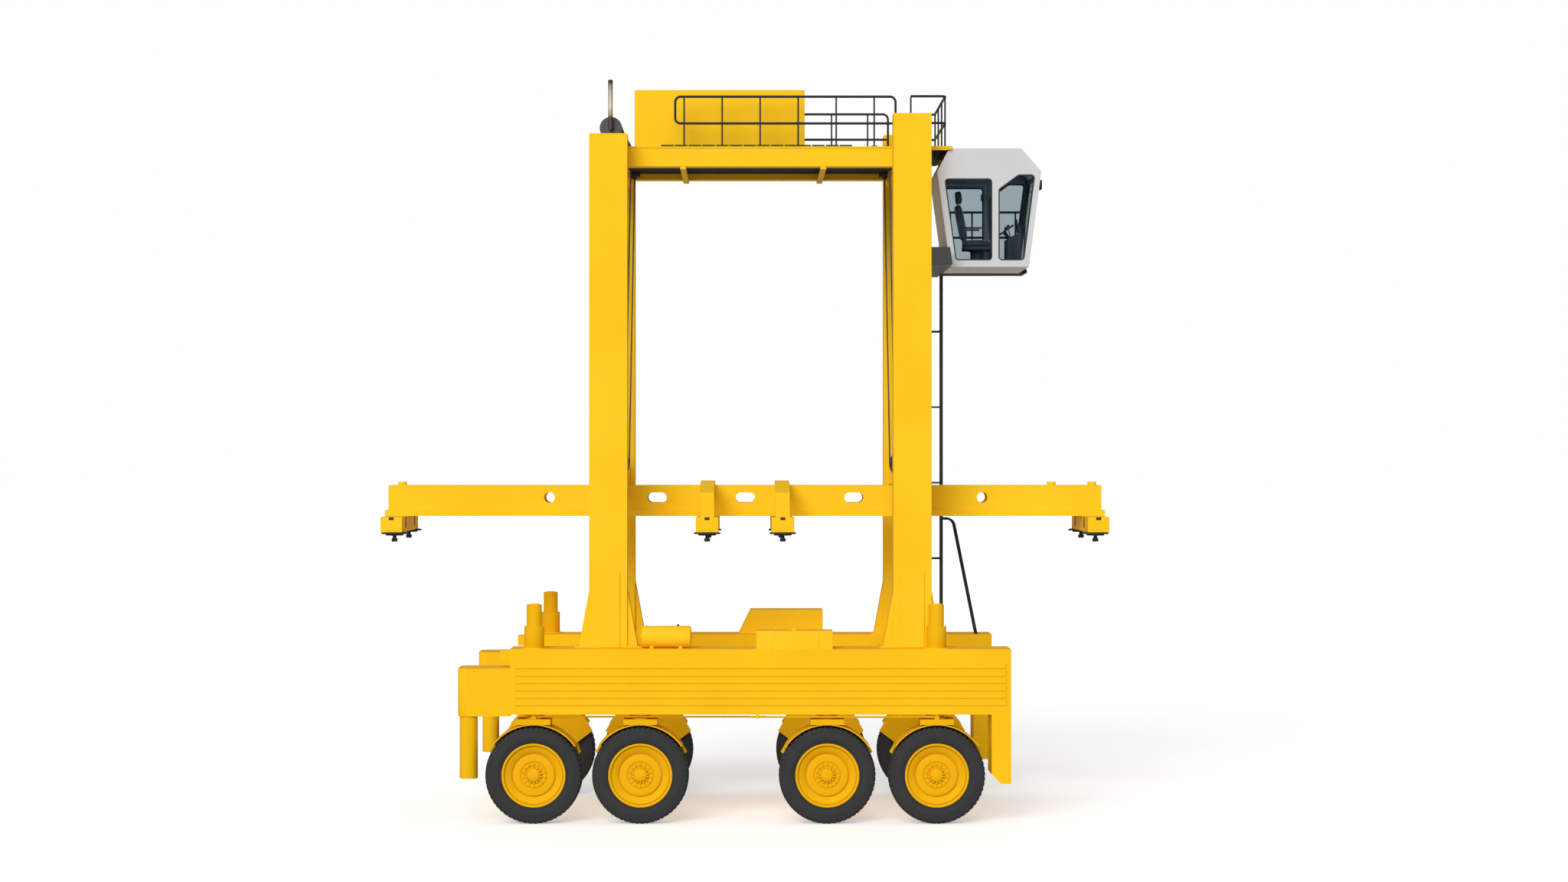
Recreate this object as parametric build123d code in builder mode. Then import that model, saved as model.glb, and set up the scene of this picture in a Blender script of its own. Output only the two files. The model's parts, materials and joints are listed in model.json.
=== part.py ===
from build123d import *
import math
import os

# Straddle carrier: a portal on eight steered wheels that lifts containers between its legs.
# Frame: +X is forward (the cab end), +Y is the machine's left, +Z is up, millimetres.
# The origin lies on the ground below the middle of the spreader.

os.makedirs("parts", exist_ok=True)

# Wheels and steering
wheel_sides = 48
spindle_sides = 16
tyre_radius = 800
tyre_width = 460
shoulder_width = 40
shoulder_depth = 95
bead_radius = 530
bead_gap = 0.3
rim_width = 400
rim_lip = 40
dish_radius = 350
dish_depth = 95
dish_step = 15
hub_radius = 125
hub_height = 60
pivot_radius = 120
arm_plate_length = 560
arm_plate_width = 440
arm_plate_thickness = 90
arm_plate_gap = 82
fender_gap = 28
fender_thickness = 20
fender_half_angle = 55
fender_setback = 20
cheek_gap = 40
cheek_thickness = 40
spindle_radius = 130
seat_gap = 0.3

# Side sills
sill_rear = -3884
sill_length = 8281
sill_inner = 1640
sill_width = 790
sill_height = 1080
rib_count = 6
rib_pitch = 122
rib_height = 100
rib_proud = 20
rib_slope = 8
rib_base = 145
rib_end_inset = 85
guard_length = 324
guard_bottom = 668
guard_chamfer = 155
tail_box_length = 866
tail_box_drop = 29
tail_box_height = 789
tail_box_corner = 145
tail_post_radius = 150
tail_post_inset = 175
tail_post_bottom = 746
tail_lug_length = 180
tail_lug_width = 260
tail_lug_height = 181
tail_lug_inset = 36
pot_radius = 165
pot_height = 366
pot_neck_radius = 126
pot_neck_height = 362

# Legs and top frame
leg_overhang = 10
leg_width = 400
leg_length = 636
rear_leg_x = -2276
front_leg_x = 2789
rear_leg_rise = 163
front_leg_rise = 500
foot_spread = 175
foot_height = 960
foot_thickness = 300
foot_plate_thickness = 25
foot_plate_margin = 60
doubler_width = 385
doubler_height = 1250
doubler_proud = 25
top_beam_inner = 1160
top_beam_width = 300
top_beam_height = 312
deck_top = 11287
deck_thickness = 30
cross_beam_inset = 40
cross_beam_drop = 95
strap_width = 100
strap_depth = 45
strap_places = (-1040, 1320)

# House, exhaust and rails on the deck
house_rear = -1875
house_length = 2890
house_half_width = 900
house_height = 1010
drum_radius = 190
drum_length = 800
drum_near = -1000
stack_radius = 40
stack_height = 800
stack_reach = 130
rail_sides = 8
rail_radius = 20
rail_post_size = 28
rail_height = 860
rail_mid_height = 390
rail_bend = 90
deck_rail_y = 1400
deck_rail_rear = -1174
deck_post_inset = 150
deck_post_pitch = 640
deck_post_count = 6

# Front walkway, cab carrier, landing and ladder
walkway_reach = 293
walkway_half_width = 1500
walkway_thickness = 70
walkway_rail_inset = 30
walkway_post_count = 4
carrier_half_width = 2000
carrier_rise = 10
carrier_height = 290
landing_gap = 50
landing_width = 1000
landing_reach = 152
landing_rise = 70
landing_thickness = 60
landing_rail_inset = 30
landing_rail_height = 1090
landing_mid_height = 640
landing_rail_start = 183
landing_post_count = 4
ladder_reach = 400
ladder_inset = 60
ladder_width = 320
ladder_rail_size = 40
ladder_rung_size = 26
ladder_pitch = 450
ladder_stay_step = 3
grab_height = 2060
grab_reach = 620
grab_bend = 140

# Cab: side outline, walls and windows
cab_right = -1450
cab_width = 2000
cab_wall = 60
cab_floor_z = 9260
cab_wall_height = 1610
cab_roof_rise = 383
cab_floor_rear = 3457
cab_floor_length = 1321
cab_rear_lean = 221
cab_front_lean = 208
cab_roof_rear_inset = 200
cab_roof_front_inset = 340
cab_floor_thickness = 80
window_sill = 110
window_head = 123
window_rear_margin = 100
window_front_margin = 95
rear_window_length = 702
mullion_width = 107
window_step_length = 334
window_step_drop = 300
front_window_head = 56
window_corner = 60
glass_thickness = 12
end_window_margin = 120
rear_window_sill = 540
door_gap = 6
door_sill_height = 85
door_head_drop = 70
door_mullion_lap = 46
door_rear_margin = 45
hinge_radius = 16
hinge_length = 120
hinge_leaf_length = 90
hinge_leaf_thickness = 8
hinge_inset = 220
seat_width = 560
seat_place = 263
seat_depth = 520
seat_height = 420
seat_pad = 130
seat_back_height = 620
seat_back_thickness = 140
headrest_width = 280
headrest_height = 230
console_place = 308
console_width = 620
console_height = 560
console_depth = 240

# Things standing on the sills
stand_inset = 300
round_tank_rear = -1706
round_tank_length = 796
round_tank_radius = 178
round_tank_rise = 14
round_tank_foot = 60
box_tank_rear = 188
box_tank_length = 1260
box_tank_height = 298
box_tank_width = 520
filler_radius = 60
filler_height = 25
locker_rear = -110
locker_length = 1500
locker_height = 430
locker_slope = 210
locker_width = 520

# Spreader
flange_half_length = 6180
flange_half_width = 400
flange_bottom = 5045
flange_thickness = 100
beam_end_inset = 54
beam_side_inset = 80
beam_height = 425
hole_rise = 215
hole_radius = 92
slot_length = 328
slot_height = 176
boss_radius = 75
boss_height = 60
end_beam_inset = 30
end_beam_width = 365
end_beam_half_span = 1300
end_beam_depth = 258
twin_x = 640
twin_arm_width = 240
twin_arm_thickness = 120
twin_shoulder_y = 500
twin_shoulder_rise = 75
twin_drop = 113
twin_box_width = 385
twin_box_depth = 300
lock_side_inset = 170
lock_end_inset = 220
lock_sides = 24
lock_disc_radius = 225
lock_disc_thickness = 30
lock_step_radius = 150
lock_step_thickness = 25
lock_neck_length = 45
lock_head_length = 100
lock_head_width = 60
lock_head_height = 60
hoist_arm_width = 300
hoist_arm_height = 100
guide_shoe_length = 460
guide_shoe_height = 300
guide_shoe_thickness = 45
sheave_y = 950
sheave_sides = 36
sheave_radius = 250
sheave_width = 70
sheave_pin_radius = 40
sheave_pin_sides = 12
sheave_rise = 262
cheek_plate = 30
cheek_plate_gap = 8
cheek_plate_width = 220

# Steering rods below the sills
rod_sides = 8
rod_radius = 16
rod_front_reach = 195
rod_rear_reach = 152
rod_guide_x = 210
rod_guide_length = 40
rod_guide_clearance = 5
rod_overlap = 150
rod_eye_length = 80
rod_eye_width = 40

# Tables of like pieces
# side name, sign of Y
SIDES = (("right", -1), ("left", 1))
# axle name, place along X
AXLES = (("axle_1", -3494), ("axle_2", -1729), ("axle_3", 1361), ("axle_4", 3172))
# beam opening: place along X, is it a slot
BEAM_HOLES = ((-3360, False), (-1510, True), (6, True), (1872, True), (4079, False))
# boss on top of the beam: end of the beam it is measured from, distance from that end
BEAM_BOSSES = ((-1, 211), (1, 831), (1, 131))

# Values worked out from the driving dimensions: wheels and sills
fender_inner_radius = tyre_radius + fender_gap
fender_outer_radius = fender_inner_radius + fender_thickness
fender_middle_radius = fender_inner_radius + fender_thickness / 2
arm_plate_bottom = tyre_radius + fender_middle_radius
arm_plate_top = arm_plate_bottom + arm_plate_thickness
sill_bottom = arm_plate_top + arm_plate_gap
sill_top = sill_bottom + sill_height
sill_front = sill_rear + sill_length
sill_outer = sill_inner + sill_width
track_half = sill_outer - tyre_width / 2
tail_box_rear = sill_rear - tail_box_length
tail_box_bottom = sill_bottom - tail_box_drop
rod_z = (arm_plate_top + sill_bottom) / 2
rod_front_y = track_half + rod_front_reach
rod_rear_y = track_half + rod_rear_reach
stand_y = sill_outer - stand_inset

# Legs, top frame and cab
leg_inner = sill_inner - leg_overhang
leg_outer = leg_inner + leg_width
foot_top = sill_top + foot_height
rear_leg_top = deck_top + rear_leg_rise
front_leg_top = deck_top + front_leg_rise
rear_leg_front = rear_leg_x + leg_length / 2
front_leg_rear = front_leg_x - leg_length / 2
front_leg_front = front_leg_x + leg_length / 2
beam_roof = deck_top - deck_thickness
top_beam_bottom = beam_roof - top_beam_height
top_beam_outer = top_beam_inner + top_beam_width
cab_left = cab_right + cab_width
cab_middle_y = (cab_right + cab_left) / 2
cab_shoulder_z = cab_floor_z + cab_wall_height
cab_roof_z = cab_shoulder_z + cab_roof_rise
cab_floor_front = cab_floor_rear + cab_floor_length
cab_shoulder_rear = cab_floor_rear - cab_rear_lean
cab_shoulder_front = cab_floor_front + cab_front_lean
floor_plate_top = cab_floor_z + cab_floor_thickness
carrier_bottom = cab_floor_z + carrier_rise
carrier_top = carrier_bottom + carrier_height
landing_inner = cab_left + landing_gap
landing_outer = landing_inner + landing_width
landing_front = cab_floor_front + landing_reach
landing_top = cab_floor_z + landing_rise

# Spreader
flange_top = flange_bottom + flange_thickness
beam_top = flange_top + beam_height
beam_half_length = flange_half_length - beam_end_inset
beam_half_width = flange_half_width - beam_side_inset
end_beam_outer = flange_half_length - end_beam_inset
end_beam_bottom = flange_bottom - end_beam_depth
lock_y = end_beam_half_span - lock_side_inset
lock_outer_x = end_beam_outer - lock_end_inset


def save(piece, name):
    """Label a finished piece and write it to its own file."""
    piece.label = name
    export_step(piece, "parts/" + name + ".step")


def slab(x_range, y_range, z_range, mode=Mode.ADD):
    """Add a box given by its lowest and highest place on each axis."""
    spans = [sorted(x_range), sorted(y_range), sorted(z_range)]
    middle = [(low + high) / 2 for low, high in spans]
    with Locations(tuple(middle)):
        Box(*[high - low for low, high in spans], mode=mode)


def side_plane(y):
    """A vertical plane along the machine at y, facing right, with X across and Z up."""
    return Plane.XZ.offset(-y)


def cross_plane(x):
    """A vertical plane across the machine at x, facing forward, with Y across and Z up."""
    return Plane.YZ.offset(x)


def bar(start, end, radius):
    """Add a round bar between two points."""
    run = Vector(*end) - Vector(*start)
    middle = (Vector(*start) + Vector(*end)) * 0.5
    with Locations(Plane(origin=middle, z_dir=run).location):
        Cylinder(radius, run.length)


def sided_bar(start, end, radius, sides):
    """Add a bar with flat sides between two points, its corners at a radius."""
    run = Vector(*end) - Vector(*start)
    with BuildSketch(Plane(origin=start, z_dir=run)) as section:
        RegularPolygon(radius, sides)
    extrude(section.sketch, amount=run.length)


def rail_section():
    """Section of a hand rail: a many-sided tube, with flats that face the posts."""
    RegularPolygon(rail_radius, rail_sides, major_radius=False, rotation=180 / rail_sides)


def rail_post(x, y, foot, top):
    """Add a square post of a hand rail."""
    half = rail_post_size / 2
    slab((x - half, x + half), (y - half, y + half), (foot, top))


def cab_rear_x(z):
    """Place along X of the cab's sloping rear face at height z."""
    rise = (z - cab_floor_z) / (cab_shoulder_z - cab_floor_z)
    return cab_floor_rear + rise * (cab_shoulder_rear - cab_floor_rear)


def cab_front_x(z):
    """Place along X of the cab's sloping front face at height z."""
    rise = (z - cab_floor_z) / (cab_shoulder_z - cab_floor_z)
    return cab_floor_front + rise * (cab_shoulder_front - cab_floor_front)


def make_sill(side):
    """Side sill: ribbed box beam with its front guard, rear lug and steering rod guide."""
    across = (side * sill_inner, side * sill_outer)
    guard_rear = sill_front - guard_length
    lug_middle = side * (sill_inner + sill_outer) / 2
    lug_top = sill_top - tail_lug_inset
    with BuildPart() as sill:
        slab((sill_rear, sill_front), across, (sill_bottom, sill_top))
        with BuildSketch(side_plane(max(across))):
            with BuildLine():
                Polyline(
                    (guard_rear, sill_bottom),
                    (guard_rear, guard_bottom + guard_chamfer),
                    (guard_rear + guard_chamfer, guard_bottom),
                    (sill_front, guard_bottom),
                    (sill_front, sill_bottom),
                    close=True,
                )
            make_face()
        extrude(amount=sill_outer - sill_inner)
        with BuildSketch(cross_plane(sill_rear + rib_end_inset)):
            for index in range(rib_count):
                low = sill_bottom + rib_base + index * rib_pitch
                high = low + rib_height
                face = side * sill_outer
                crest = side * (sill_outer + rib_proud)
                with BuildLine():
                    Polyline(
                        (face, low),
                        (crest, low + rib_slope),
                        (crest, high - rib_slope),
                        (face, high),
                        close=True,
                    )
                make_face()
        extrude(amount=sill_front - sill_rear - 2 * rib_end_inset)
        slab(
            (sill_rear - tail_lug_length, sill_rear),
            (lug_middle - tail_lug_width / 2, lug_middle + tail_lug_width / 2),
            (lug_top - tail_lug_height, lug_top),
        )
        with BuildSketch(cross_plane(rod_guide_x - rod_guide_length / 2)):
            wall = rod_radius + 2 * rod_guide_clearance
            inner_edge = side * (rod_rear_y - wall)
            outer_edge = side * (rod_front_y + wall)
            with BuildLine():
                Polyline(
                    (inner_edge, rod_z - wall),
                    (outer_edge, rod_z - wall),
                    (outer_edge, sill_bottom),
                    (inner_edge, sill_bottom),
                    close=True,
                )
            make_face()
            with Locations((side * rod_front_y, rod_z), (side * rod_rear_y, rod_z)):
                Circle(rod_radius + rod_guide_clearance, mode=Mode.SUBTRACT)
        extrude(amount=rod_guide_length)
    return sill.part


def make_legs(place, top):
    """A pair of legs with flared feet, foot plates and outer doublers."""
    half = leg_length / 2
    middle = (leg_inner + leg_outer) / 2
    with BuildPart() as legs:
        for _, side in SIDES:
            slab((place - half, place + half), (side * leg_inner, side * leg_outer), (sill_top, top))
            foot_face = max(side * (middle - foot_thickness / 2), side * (middle + foot_thickness / 2))
            with BuildSketch(side_plane(foot_face)):
                with BuildLine():
                    Polyline(
                        (place - half - foot_spread, sill_top),
                        (place - half, foot_top),
                        (place + half, foot_top),
                        (place + half + foot_spread, sill_top),
                        close=True,
                    )
                make_face()
            extrude(amount=foot_thickness)
            plate_half = half + foot_spread + foot_plate_margin
            slab(
                (place - plate_half, place + plate_half),
                (side * max(leg_inner, sill_inner), side * leg_outer),
                (sill_top, sill_top + foot_plate_thickness),
            )
            slab(
                (place - doubler_width / 2, place + doubler_width / 2),
                (side * leg_outer, side * (leg_outer + doubler_proud)),
                (sill_top, sill_top + doubler_height),
            )
    return legs.part


def wheel_plane(place, side, outward, facing=1):
    """A plane across a wheel's axle, some way outward of the wheel's middle; facing -1 looks inward."""
    return Plane(
        origin=(place, side * (track_half + outward), tyre_radius),
        x_dir=(1, 0, 0),
        z_dir=(0, facing * side, 0),
    )


def wheel_outline(radius, mode=Mode.ADD):
    """Outline of a wheel with a flat for each row of tread, one of them at the bottom."""
    RegularPolygon(radius, wheel_sides, major_radius=False, rotation=180 / wheel_sides, mode=mode)


def make_knuckle(place, side):
    """Steered wheel carrier: pivot, arm plate, fender, inner cheek and spindle in one weldment."""
    wheel_y = side * track_half
    cheek_outer = -tyre_width / 2 - cheek_gap
    cheek_inner = cheek_outer - cheek_thickness
    fender_outer = tyre_width / 2 - fender_setback
    reach = 2 * fender_outer_radius
    spread = reach * math.tan(math.radians(fender_half_angle))
    with BuildPart() as knuckle:
        with BuildSketch(wheel_plane(place, side, cheek_inner)):
            wheel_outline(fender_outer_radius)
            wheel_outline(fender_inner_radius, mode=Mode.SUBTRACT)
            with BuildLine():
                Polyline((0, 0), (-spread, side * -reach), (spread, side * -reach), close=True)
            make_face(mode=Mode.INTERSECT)
        extrude(amount=fender_outer - cheek_inner)
        with BuildSketch(wheel_plane(place, side, cheek_inner)):
            wheel_outline(fender_middle_radius)
            with BuildLine():
                Polyline(
                    (-spindle_radius, side * spindle_radius),
                    (-spindle_radius - spread, side * -reach),
                    (spindle_radius + spread, side * -reach),
                    (spindle_radius, side * spindle_radius),
                    close=True,
                )
            make_face(mode=Mode.INTERSECT)
        extrude(amount=cheek_thickness)
        along = (place - arm_plate_length / 2, place + arm_plate_length / 2)
        across = (wheel_y - arm_plate_width / 2, wheel_y + arm_plate_width / 2)
        slab(along, across, (arm_plate_bottom, arm_plate_top))
        slab(
            along,
            (wheel_y + side * cheek_inner, wheel_y + side * (cheek_outer + cheek_gap / 2)),
            (arm_plate_bottom - arm_plate_thickness, arm_plate_top),
        )
        bar((place, wheel_y, arm_plate_bottom), (place, wheel_y, sill_bottom - seat_gap), pivot_radius)
        hub_back = side * (track_half - rim_width / 2 - seat_gap)
        cheek_middle = wheel_y + side * (cheek_inner + cheek_outer) / 2
        sided_bar(
            (place, cheek_middle, tyre_radius),
            (place, hub_back, tyre_radius),
            spindle_radius,
            spindle_sides,
        )
    return knuckle.part


def make_rim(place, side):
    """Dished wheel disc with its lip and round hub."""
    lip_radius = bead_radius - rim_lip
    with BuildPart() as rim:
        with BuildSketch(wheel_plane(place, side, -rim_width / 2)):
            wheel_outline(bead_radius - bead_gap)
        extrude(amount=rim_width)
        with BuildSketch(wheel_plane(place, side, rim_width / 2, facing=-1)):
            wheel_outline(dish_radius)
        extrude(amount=dish_depth, mode=Mode.SUBTRACT)
        front = rim.faces().sort_by(Axis.Y)[-1 if side > 0 else 0]
        chamfer(
            front.inner_wires()[0].edges(),
            length=lip_radius - dish_radius,
            length2=dish_depth - dish_step,
            reference=front,
        )
        with BuildSketch(wheel_plane(place, side, rim_width / 2 - dish_depth)):
            Circle(hub_radius)
        extrude(amount=hub_height)
    return rim.part


def make_tyre(place, side):
    """Tyre: flat-rowed tread, leaning shoulders, flat walls and the bead seat."""
    with BuildPart() as tyre:
        with BuildSketch(wheel_plane(place, side, -tyre_width / 2)):
            wheel_outline(tyre_radius)
            wheel_outline(bead_radius, mode=Mode.SUBTRACT)
        extrude(amount=tyre_width)
        for end in (0, -1):
            wall = tyre.faces().sort_by(Axis.Y)[end]
            chamfer(
                wall.outer_wire().edges(),
                length=shoulder_depth,
                length2=shoulder_width,
                reference=wall,
            )
    return tyre.part


# Sills, tail posts and pivot pots
for side_name, side in SIDES:
    save(make_sill(side), "sill_" + side_name)

with BuildPart() as tail_posts:
    for _, side in SIDES:
        middle = side * (sill_inner + sill_outer) / 2
        with BuildSketch(Plane.XY.offset(tail_box_bottom)) as box_plan:
            with Locations(((tail_box_rear + sill_rear) / 2, middle)):
                Rectangle(tail_box_length, sill_outer - sill_inner)
            fillet(box_plan.vertices().group_by(Axis.X)[0], tail_box_corner)
        extrude(amount=tail_box_height)
        post_x = tail_box_rear + tail_post_inset
        post_y = side * (sill_outer - tail_post_inset)
        bar((post_x, post_y, tail_post_bottom), (post_x, post_y, tail_box_bottom), tail_post_radius)
save(tail_posts.part, "tail_posts")

with BuildPart() as pivot_pots:
    for _, side in SIDES:
        for place in (AXLES[0][1], AXLES[-1][1]):
            pot_y = side * track_half
            pot_top = sill_top + pot_height
            bar((place, pot_y, sill_top), (place, pot_y, pot_top), pot_radius)
            bar((place, pot_y, pot_top), (place, pot_y, pot_top + pot_neck_height), pot_neck_radius)
save(pivot_pots.part, "pivot_pots")

# Wheels and knuckles
for axle_name, place in AXLES:
    for side_name, side in SIDES:
        station = axle_name + "_" + side_name
        save(make_knuckle(place, side), "knuckle_" + station)
        save(make_rim(place, side), "rim_" + station)
        save(make_tyre(place, side), "tyre_" + station)

# Legs and top frame
save(make_legs(rear_leg_x, rear_leg_top), "legs_rear")
save(make_legs(front_leg_x, front_leg_top), "legs_front")

deck_rear = rear_leg_front - cross_beam_inset
deck_front = front_leg_rear + cross_beam_inset
with BuildPart() as top_beams:
    for _, side in SIDES:
        across = (side * top_beam_inner, side * top_beam_outer)
        slab((deck_rear, deck_front), across, (top_beam_bottom, beam_roof))
save(top_beams.part, "top_beams")

with BuildPart() as top_straps:
    for place in strap_places:
        slab(
            (place - strap_width / 2, place + strap_width / 2),
            (-top_beam_outer, top_beam_outer),
            (top_beam_bottom - strap_depth, top_beam_bottom),
        )
save(top_straps.part, "top_straps")

with BuildPart() as deck:
    slab((deck_rear, deck_front), (-top_beam_outer, top_beam_outer), (beam_roof, deck_top))
save(deck.part, "deck")

with BuildPart() as cross_beams:
    half = leg_length / 2 - cross_beam_inset
    cross_beam_bottom = top_beam_bottom - cross_beam_drop
    # place of the legs, top of the beam
    for place, top in ((rear_leg_x, rear_leg_top), (front_leg_x, deck_top)):
        slab((place - half, place + half), (-leg_inner, leg_inner), (cross_beam_bottom, top))
save(cross_beams.part, "cross_beams")

# House and exhaust
with BuildPart() as machine_house:
    house_front = house_rear + house_length
    house_across = (-house_half_width, house_half_width)
    slab((house_rear, house_front), house_across, (deck_top, deck_top + house_height))
save(machine_house.part, "machine_house")

drum_z = rear_leg_top + drum_radius
with BuildPart() as exhaust:
    bar((rear_leg_x, drum_near, drum_z), (rear_leg_x, drum_near + drum_length, drum_z), drum_radius)
    elbow_y = drum_near - stack_reach
    with BuildLine(cross_plane(rear_leg_x)) as stack_line:
        Polyline((drum_near, drum_z), (elbow_y, drum_z), (elbow_y, drum_z + stack_height))
    with BuildSketch(Plane(origin=stack_line.line @ 0, z_dir=stack_line.line % 0)):
        Circle(stack_radius)
    sweep(path=stack_line.line, transition=Transition.RIGHT)
save(exhaust.part, "exhaust")

# Front walkway, cab carrier beam and landing
cross_beam_face = front_leg_front - cross_beam_inset
walkway_front = front_leg_front + walkway_reach
walkway_rail_x = walkway_front - walkway_rail_inset
walkway_rail_y = walkway_half_width - walkway_rail_inset
with BuildPart() as cab_carrier:
    with BuildSketch(side_plane(carrier_half_width)):
        with BuildLine():
            Polyline(
                (front_leg_front, carrier_bottom),
                (cab_rear_x(carrier_bottom), carrier_bottom),
                (cab_rear_x(carrier_top), carrier_top),
                (front_leg_front, carrier_top),
                close=True,
            )
        make_face()
    extrude(amount=2 * carrier_half_width)
save(cab_carrier.part, "cab_carrier")

landing_bottom = landing_top - landing_thickness
with BuildPart() as walkways:
    slab(
        (cross_beam_face, walkway_front),
        (-walkway_half_width, walkway_half_width),
        (deck_top - walkway_thickness, deck_top),
    )
    with BuildSketch(side_plane(landing_outer)):
        with BuildLine():
            Polyline(
                (cab_rear_x(landing_bottom), landing_bottom),
                (landing_front, landing_bottom),
                (landing_front, landing_top),
                (cab_rear_x(landing_top), landing_top),
                close=True,
            )
        make_face()
    extrude(amount=landing_outer - landing_inner)
save(walkways.part, "walkways")

# Guard rails: deck loops, front walkway and landing
rail_top = deck_top + rail_height - rail_radius
rail_mid = deck_top + rail_mid_height
landing_rail_x = landing_front - landing_rail_inset
landing_rail_y = landing_outer - landing_rail_inset
landing_rail_rear = cab_floor_rear + landing_rail_start
with BuildPart() as guard_rails:
    for _, side in SIDES:
        with BuildLine(side_plane(side * deck_rail_y)) as loop:
            FilletPolyline(
                (front_leg_rear, rail_mid),
                (deck_rail_rear, rail_mid),
                (deck_rail_rear, rail_top),
                (front_leg_rear, rail_top),
                radius=rail_bend,
            )
        with BuildSketch(Plane(origin=loop.line @ 0, z_dir=loop.line % 0)):
            rail_section()
        sweep(path=loop.line)
        for index in range(deck_post_count):
            post_x = deck_rail_rear + deck_post_inset + index * deck_post_pitch
            rail_post(post_x, side * deck_rail_y, deck_top, rail_top)
    for level in (rail_mid, rail_top):
        with BuildLine(Plane.XY.offset(level)) as rail_line:
            FilletPolyline(
                (front_leg_x, -walkway_rail_y),
                (walkway_rail_x, -walkway_rail_y),
                (walkway_rail_x, walkway_rail_y),
                (front_leg_x, walkway_rail_y),
                radius=rail_bend,
            )
        with BuildSketch(Plane(origin=rail_line.line @ 0, z_dir=rail_line.line % 0)):
            rail_section()
        sweep(path=rail_line.line)
    for index in range(walkway_post_count):
        share = 2 * index / (walkway_post_count - 1) - 1
        rail_post(walkway_rail_x, share * (walkway_rail_y - rail_bend), deck_top, rail_top)
    for _, side in SIDES:
        rail_post(front_leg_x, side * walkway_rail_y, deck_top, rail_top)
    for height in (landing_mid_height, landing_rail_height):
        with BuildLine(Plane.XY.offset(landing_top + height - rail_radius)) as rail_line:
            FilletPolyline(
                (landing_rail_rear, landing_rail_y),
                (landing_rail_x, landing_rail_y),
                (landing_rail_x, landing_inner + landing_rail_inset),
                radius=rail_bend,
            )
        with BuildSketch(Plane(origin=rail_line.line @ 0, z_dir=rail_line.line % 0)):
            rail_section()
        sweep(path=rail_line.line)
    half = rail_post_size / 2
    post_top = landing_top + landing_rail_height - rail_radius
    run = landing_rail_x - rail_bend - landing_rail_rear - half
    for index in range(landing_post_count):
        post_x = landing_rail_rear + half + run * index / (landing_post_count - 1)
        rail_post(post_x, landing_rail_y, landing_top, post_top)
    rail_post(landing_rail_x, landing_inner + landing_rail_inset + half, landing_top, post_top)
save(guard_rails.part, "guard_rails")

# Ladder on the left front leg
ladder_x = front_leg_front + ladder_reach
with BuildPart() as ladder:
    rail_half = ladder_rail_size / 2
    rung_half = ladder_rung_size / 2
    ladder_inner = leg_inner + ladder_inset
    ladder_top = landing_top + landing_rail_height
    grab_top = sill_top + grab_height
    rail_places = (ladder_inner, ladder_inner + ladder_width)
    for rail_y in rail_places:
        rail_across = (rail_y - rail_half, rail_y + rail_half)
        slab((ladder_x - rail_half, ladder_x + rail_half), rail_across, (sill_top, ladder_top))
    rung_count = int((ladder_top - sill_top) / ladder_pitch)
    for index in range(1, rung_count + 1):
        rung_z = sill_top + index * ladder_pitch
        rung_heights = (rung_z - rung_half, rung_z + rung_half)
        slab((ladder_x - rung_half, ladder_x + rung_half), rail_places, rung_heights)
        beside_carrier = carrier_bottom - ladder_pitch / 2 < rung_z < carrier_top + ladder_pitch / 2
        if index % ladder_stay_step == 0 and rung_z > foot_top and not beside_carrier:
            for rail_y in rail_places:
                slab((front_leg_front, ladder_x), (rail_y - rung_half, rail_y + rung_half), rung_heights)
    for rail_y in rail_places:
        with BuildLine(side_plane(rail_y)) as grab_line:
            FilletPolyline(
                (ladder_x, grab_top),
                (ladder_x + grab_reach / 3, grab_top),
                (ladder_x + grab_reach, sill_top),
                radius=grab_bend,
            )
        with BuildSketch(Plane(origin=grab_line.line @ 0, z_dir=grab_line.line % 0)):
            rail_section()
        sweep(path=grab_line.line)
    below_sill_top = (sill_top - ladder_pitch, sill_top)
    slab((ladder_x, ladder_x + 2 * grab_reach), (sill_inner, sill_outer), below_sill_top, mode=Mode.SUBTRACT)
save(ladder.part, "ladder")

# Cab outlines seen from the side, each a list of (X, Z) corners
window_bottom = cab_floor_z + window_sill
window_top = cab_shoulder_z - window_head
window_step_z = cab_shoulder_z - window_step_drop
window_front_top = cab_shoulder_z - front_window_head
window_mid_rear = cab_floor_rear + rear_window_length
window_mid_front = window_mid_rear + mullion_width
window_step_x = window_mid_front + window_step_length
door_sill = cab_floor_z + door_sill_height
door_head = cab_shoulder_z - door_head_drop
door_front = window_mid_rear + door_mullion_lap
rear_window_bottom = cab_floor_z + rear_window_sill
cab_profile = (
    (cab_floor_rear, cab_floor_z),
    (cab_floor_front, cab_floor_z),
    (cab_shoulder_front, cab_shoulder_z),
    (cab_shoulder_front - cab_roof_front_inset, cab_roof_z),
    (cab_shoulder_rear + cab_roof_rear_inset, cab_roof_z),
    (cab_shoulder_rear, cab_shoulder_z),
)
rear_window = (
    (cab_rear_x(window_bottom) + window_rear_margin, window_bottom),
    (window_mid_rear, window_bottom),
    (window_mid_rear, window_top),
    (cab_rear_x(window_top) + window_rear_margin, window_top),
)
front_window = (
    (window_mid_front, window_bottom),
    (cab_front_x(window_bottom) - window_front_margin, window_bottom),
    (cab_front_x(window_front_top) - window_front_margin, window_front_top),
    (window_step_x, window_front_top),
    (window_mid_front, window_step_z),
)
doorway = (
    (cab_rear_x(door_sill) + door_rear_margin, door_sill),
    (door_front, door_sill),
    (door_front, door_head),
    (cab_rear_x(door_head) + door_rear_margin, door_head),
)
end_window_y = (cab_right + end_window_margin, cab_left - end_window_margin)
cab_reach = (cab_shoulder_rear - cab_wall, cab_shoulder_front + cab_wall)


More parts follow.
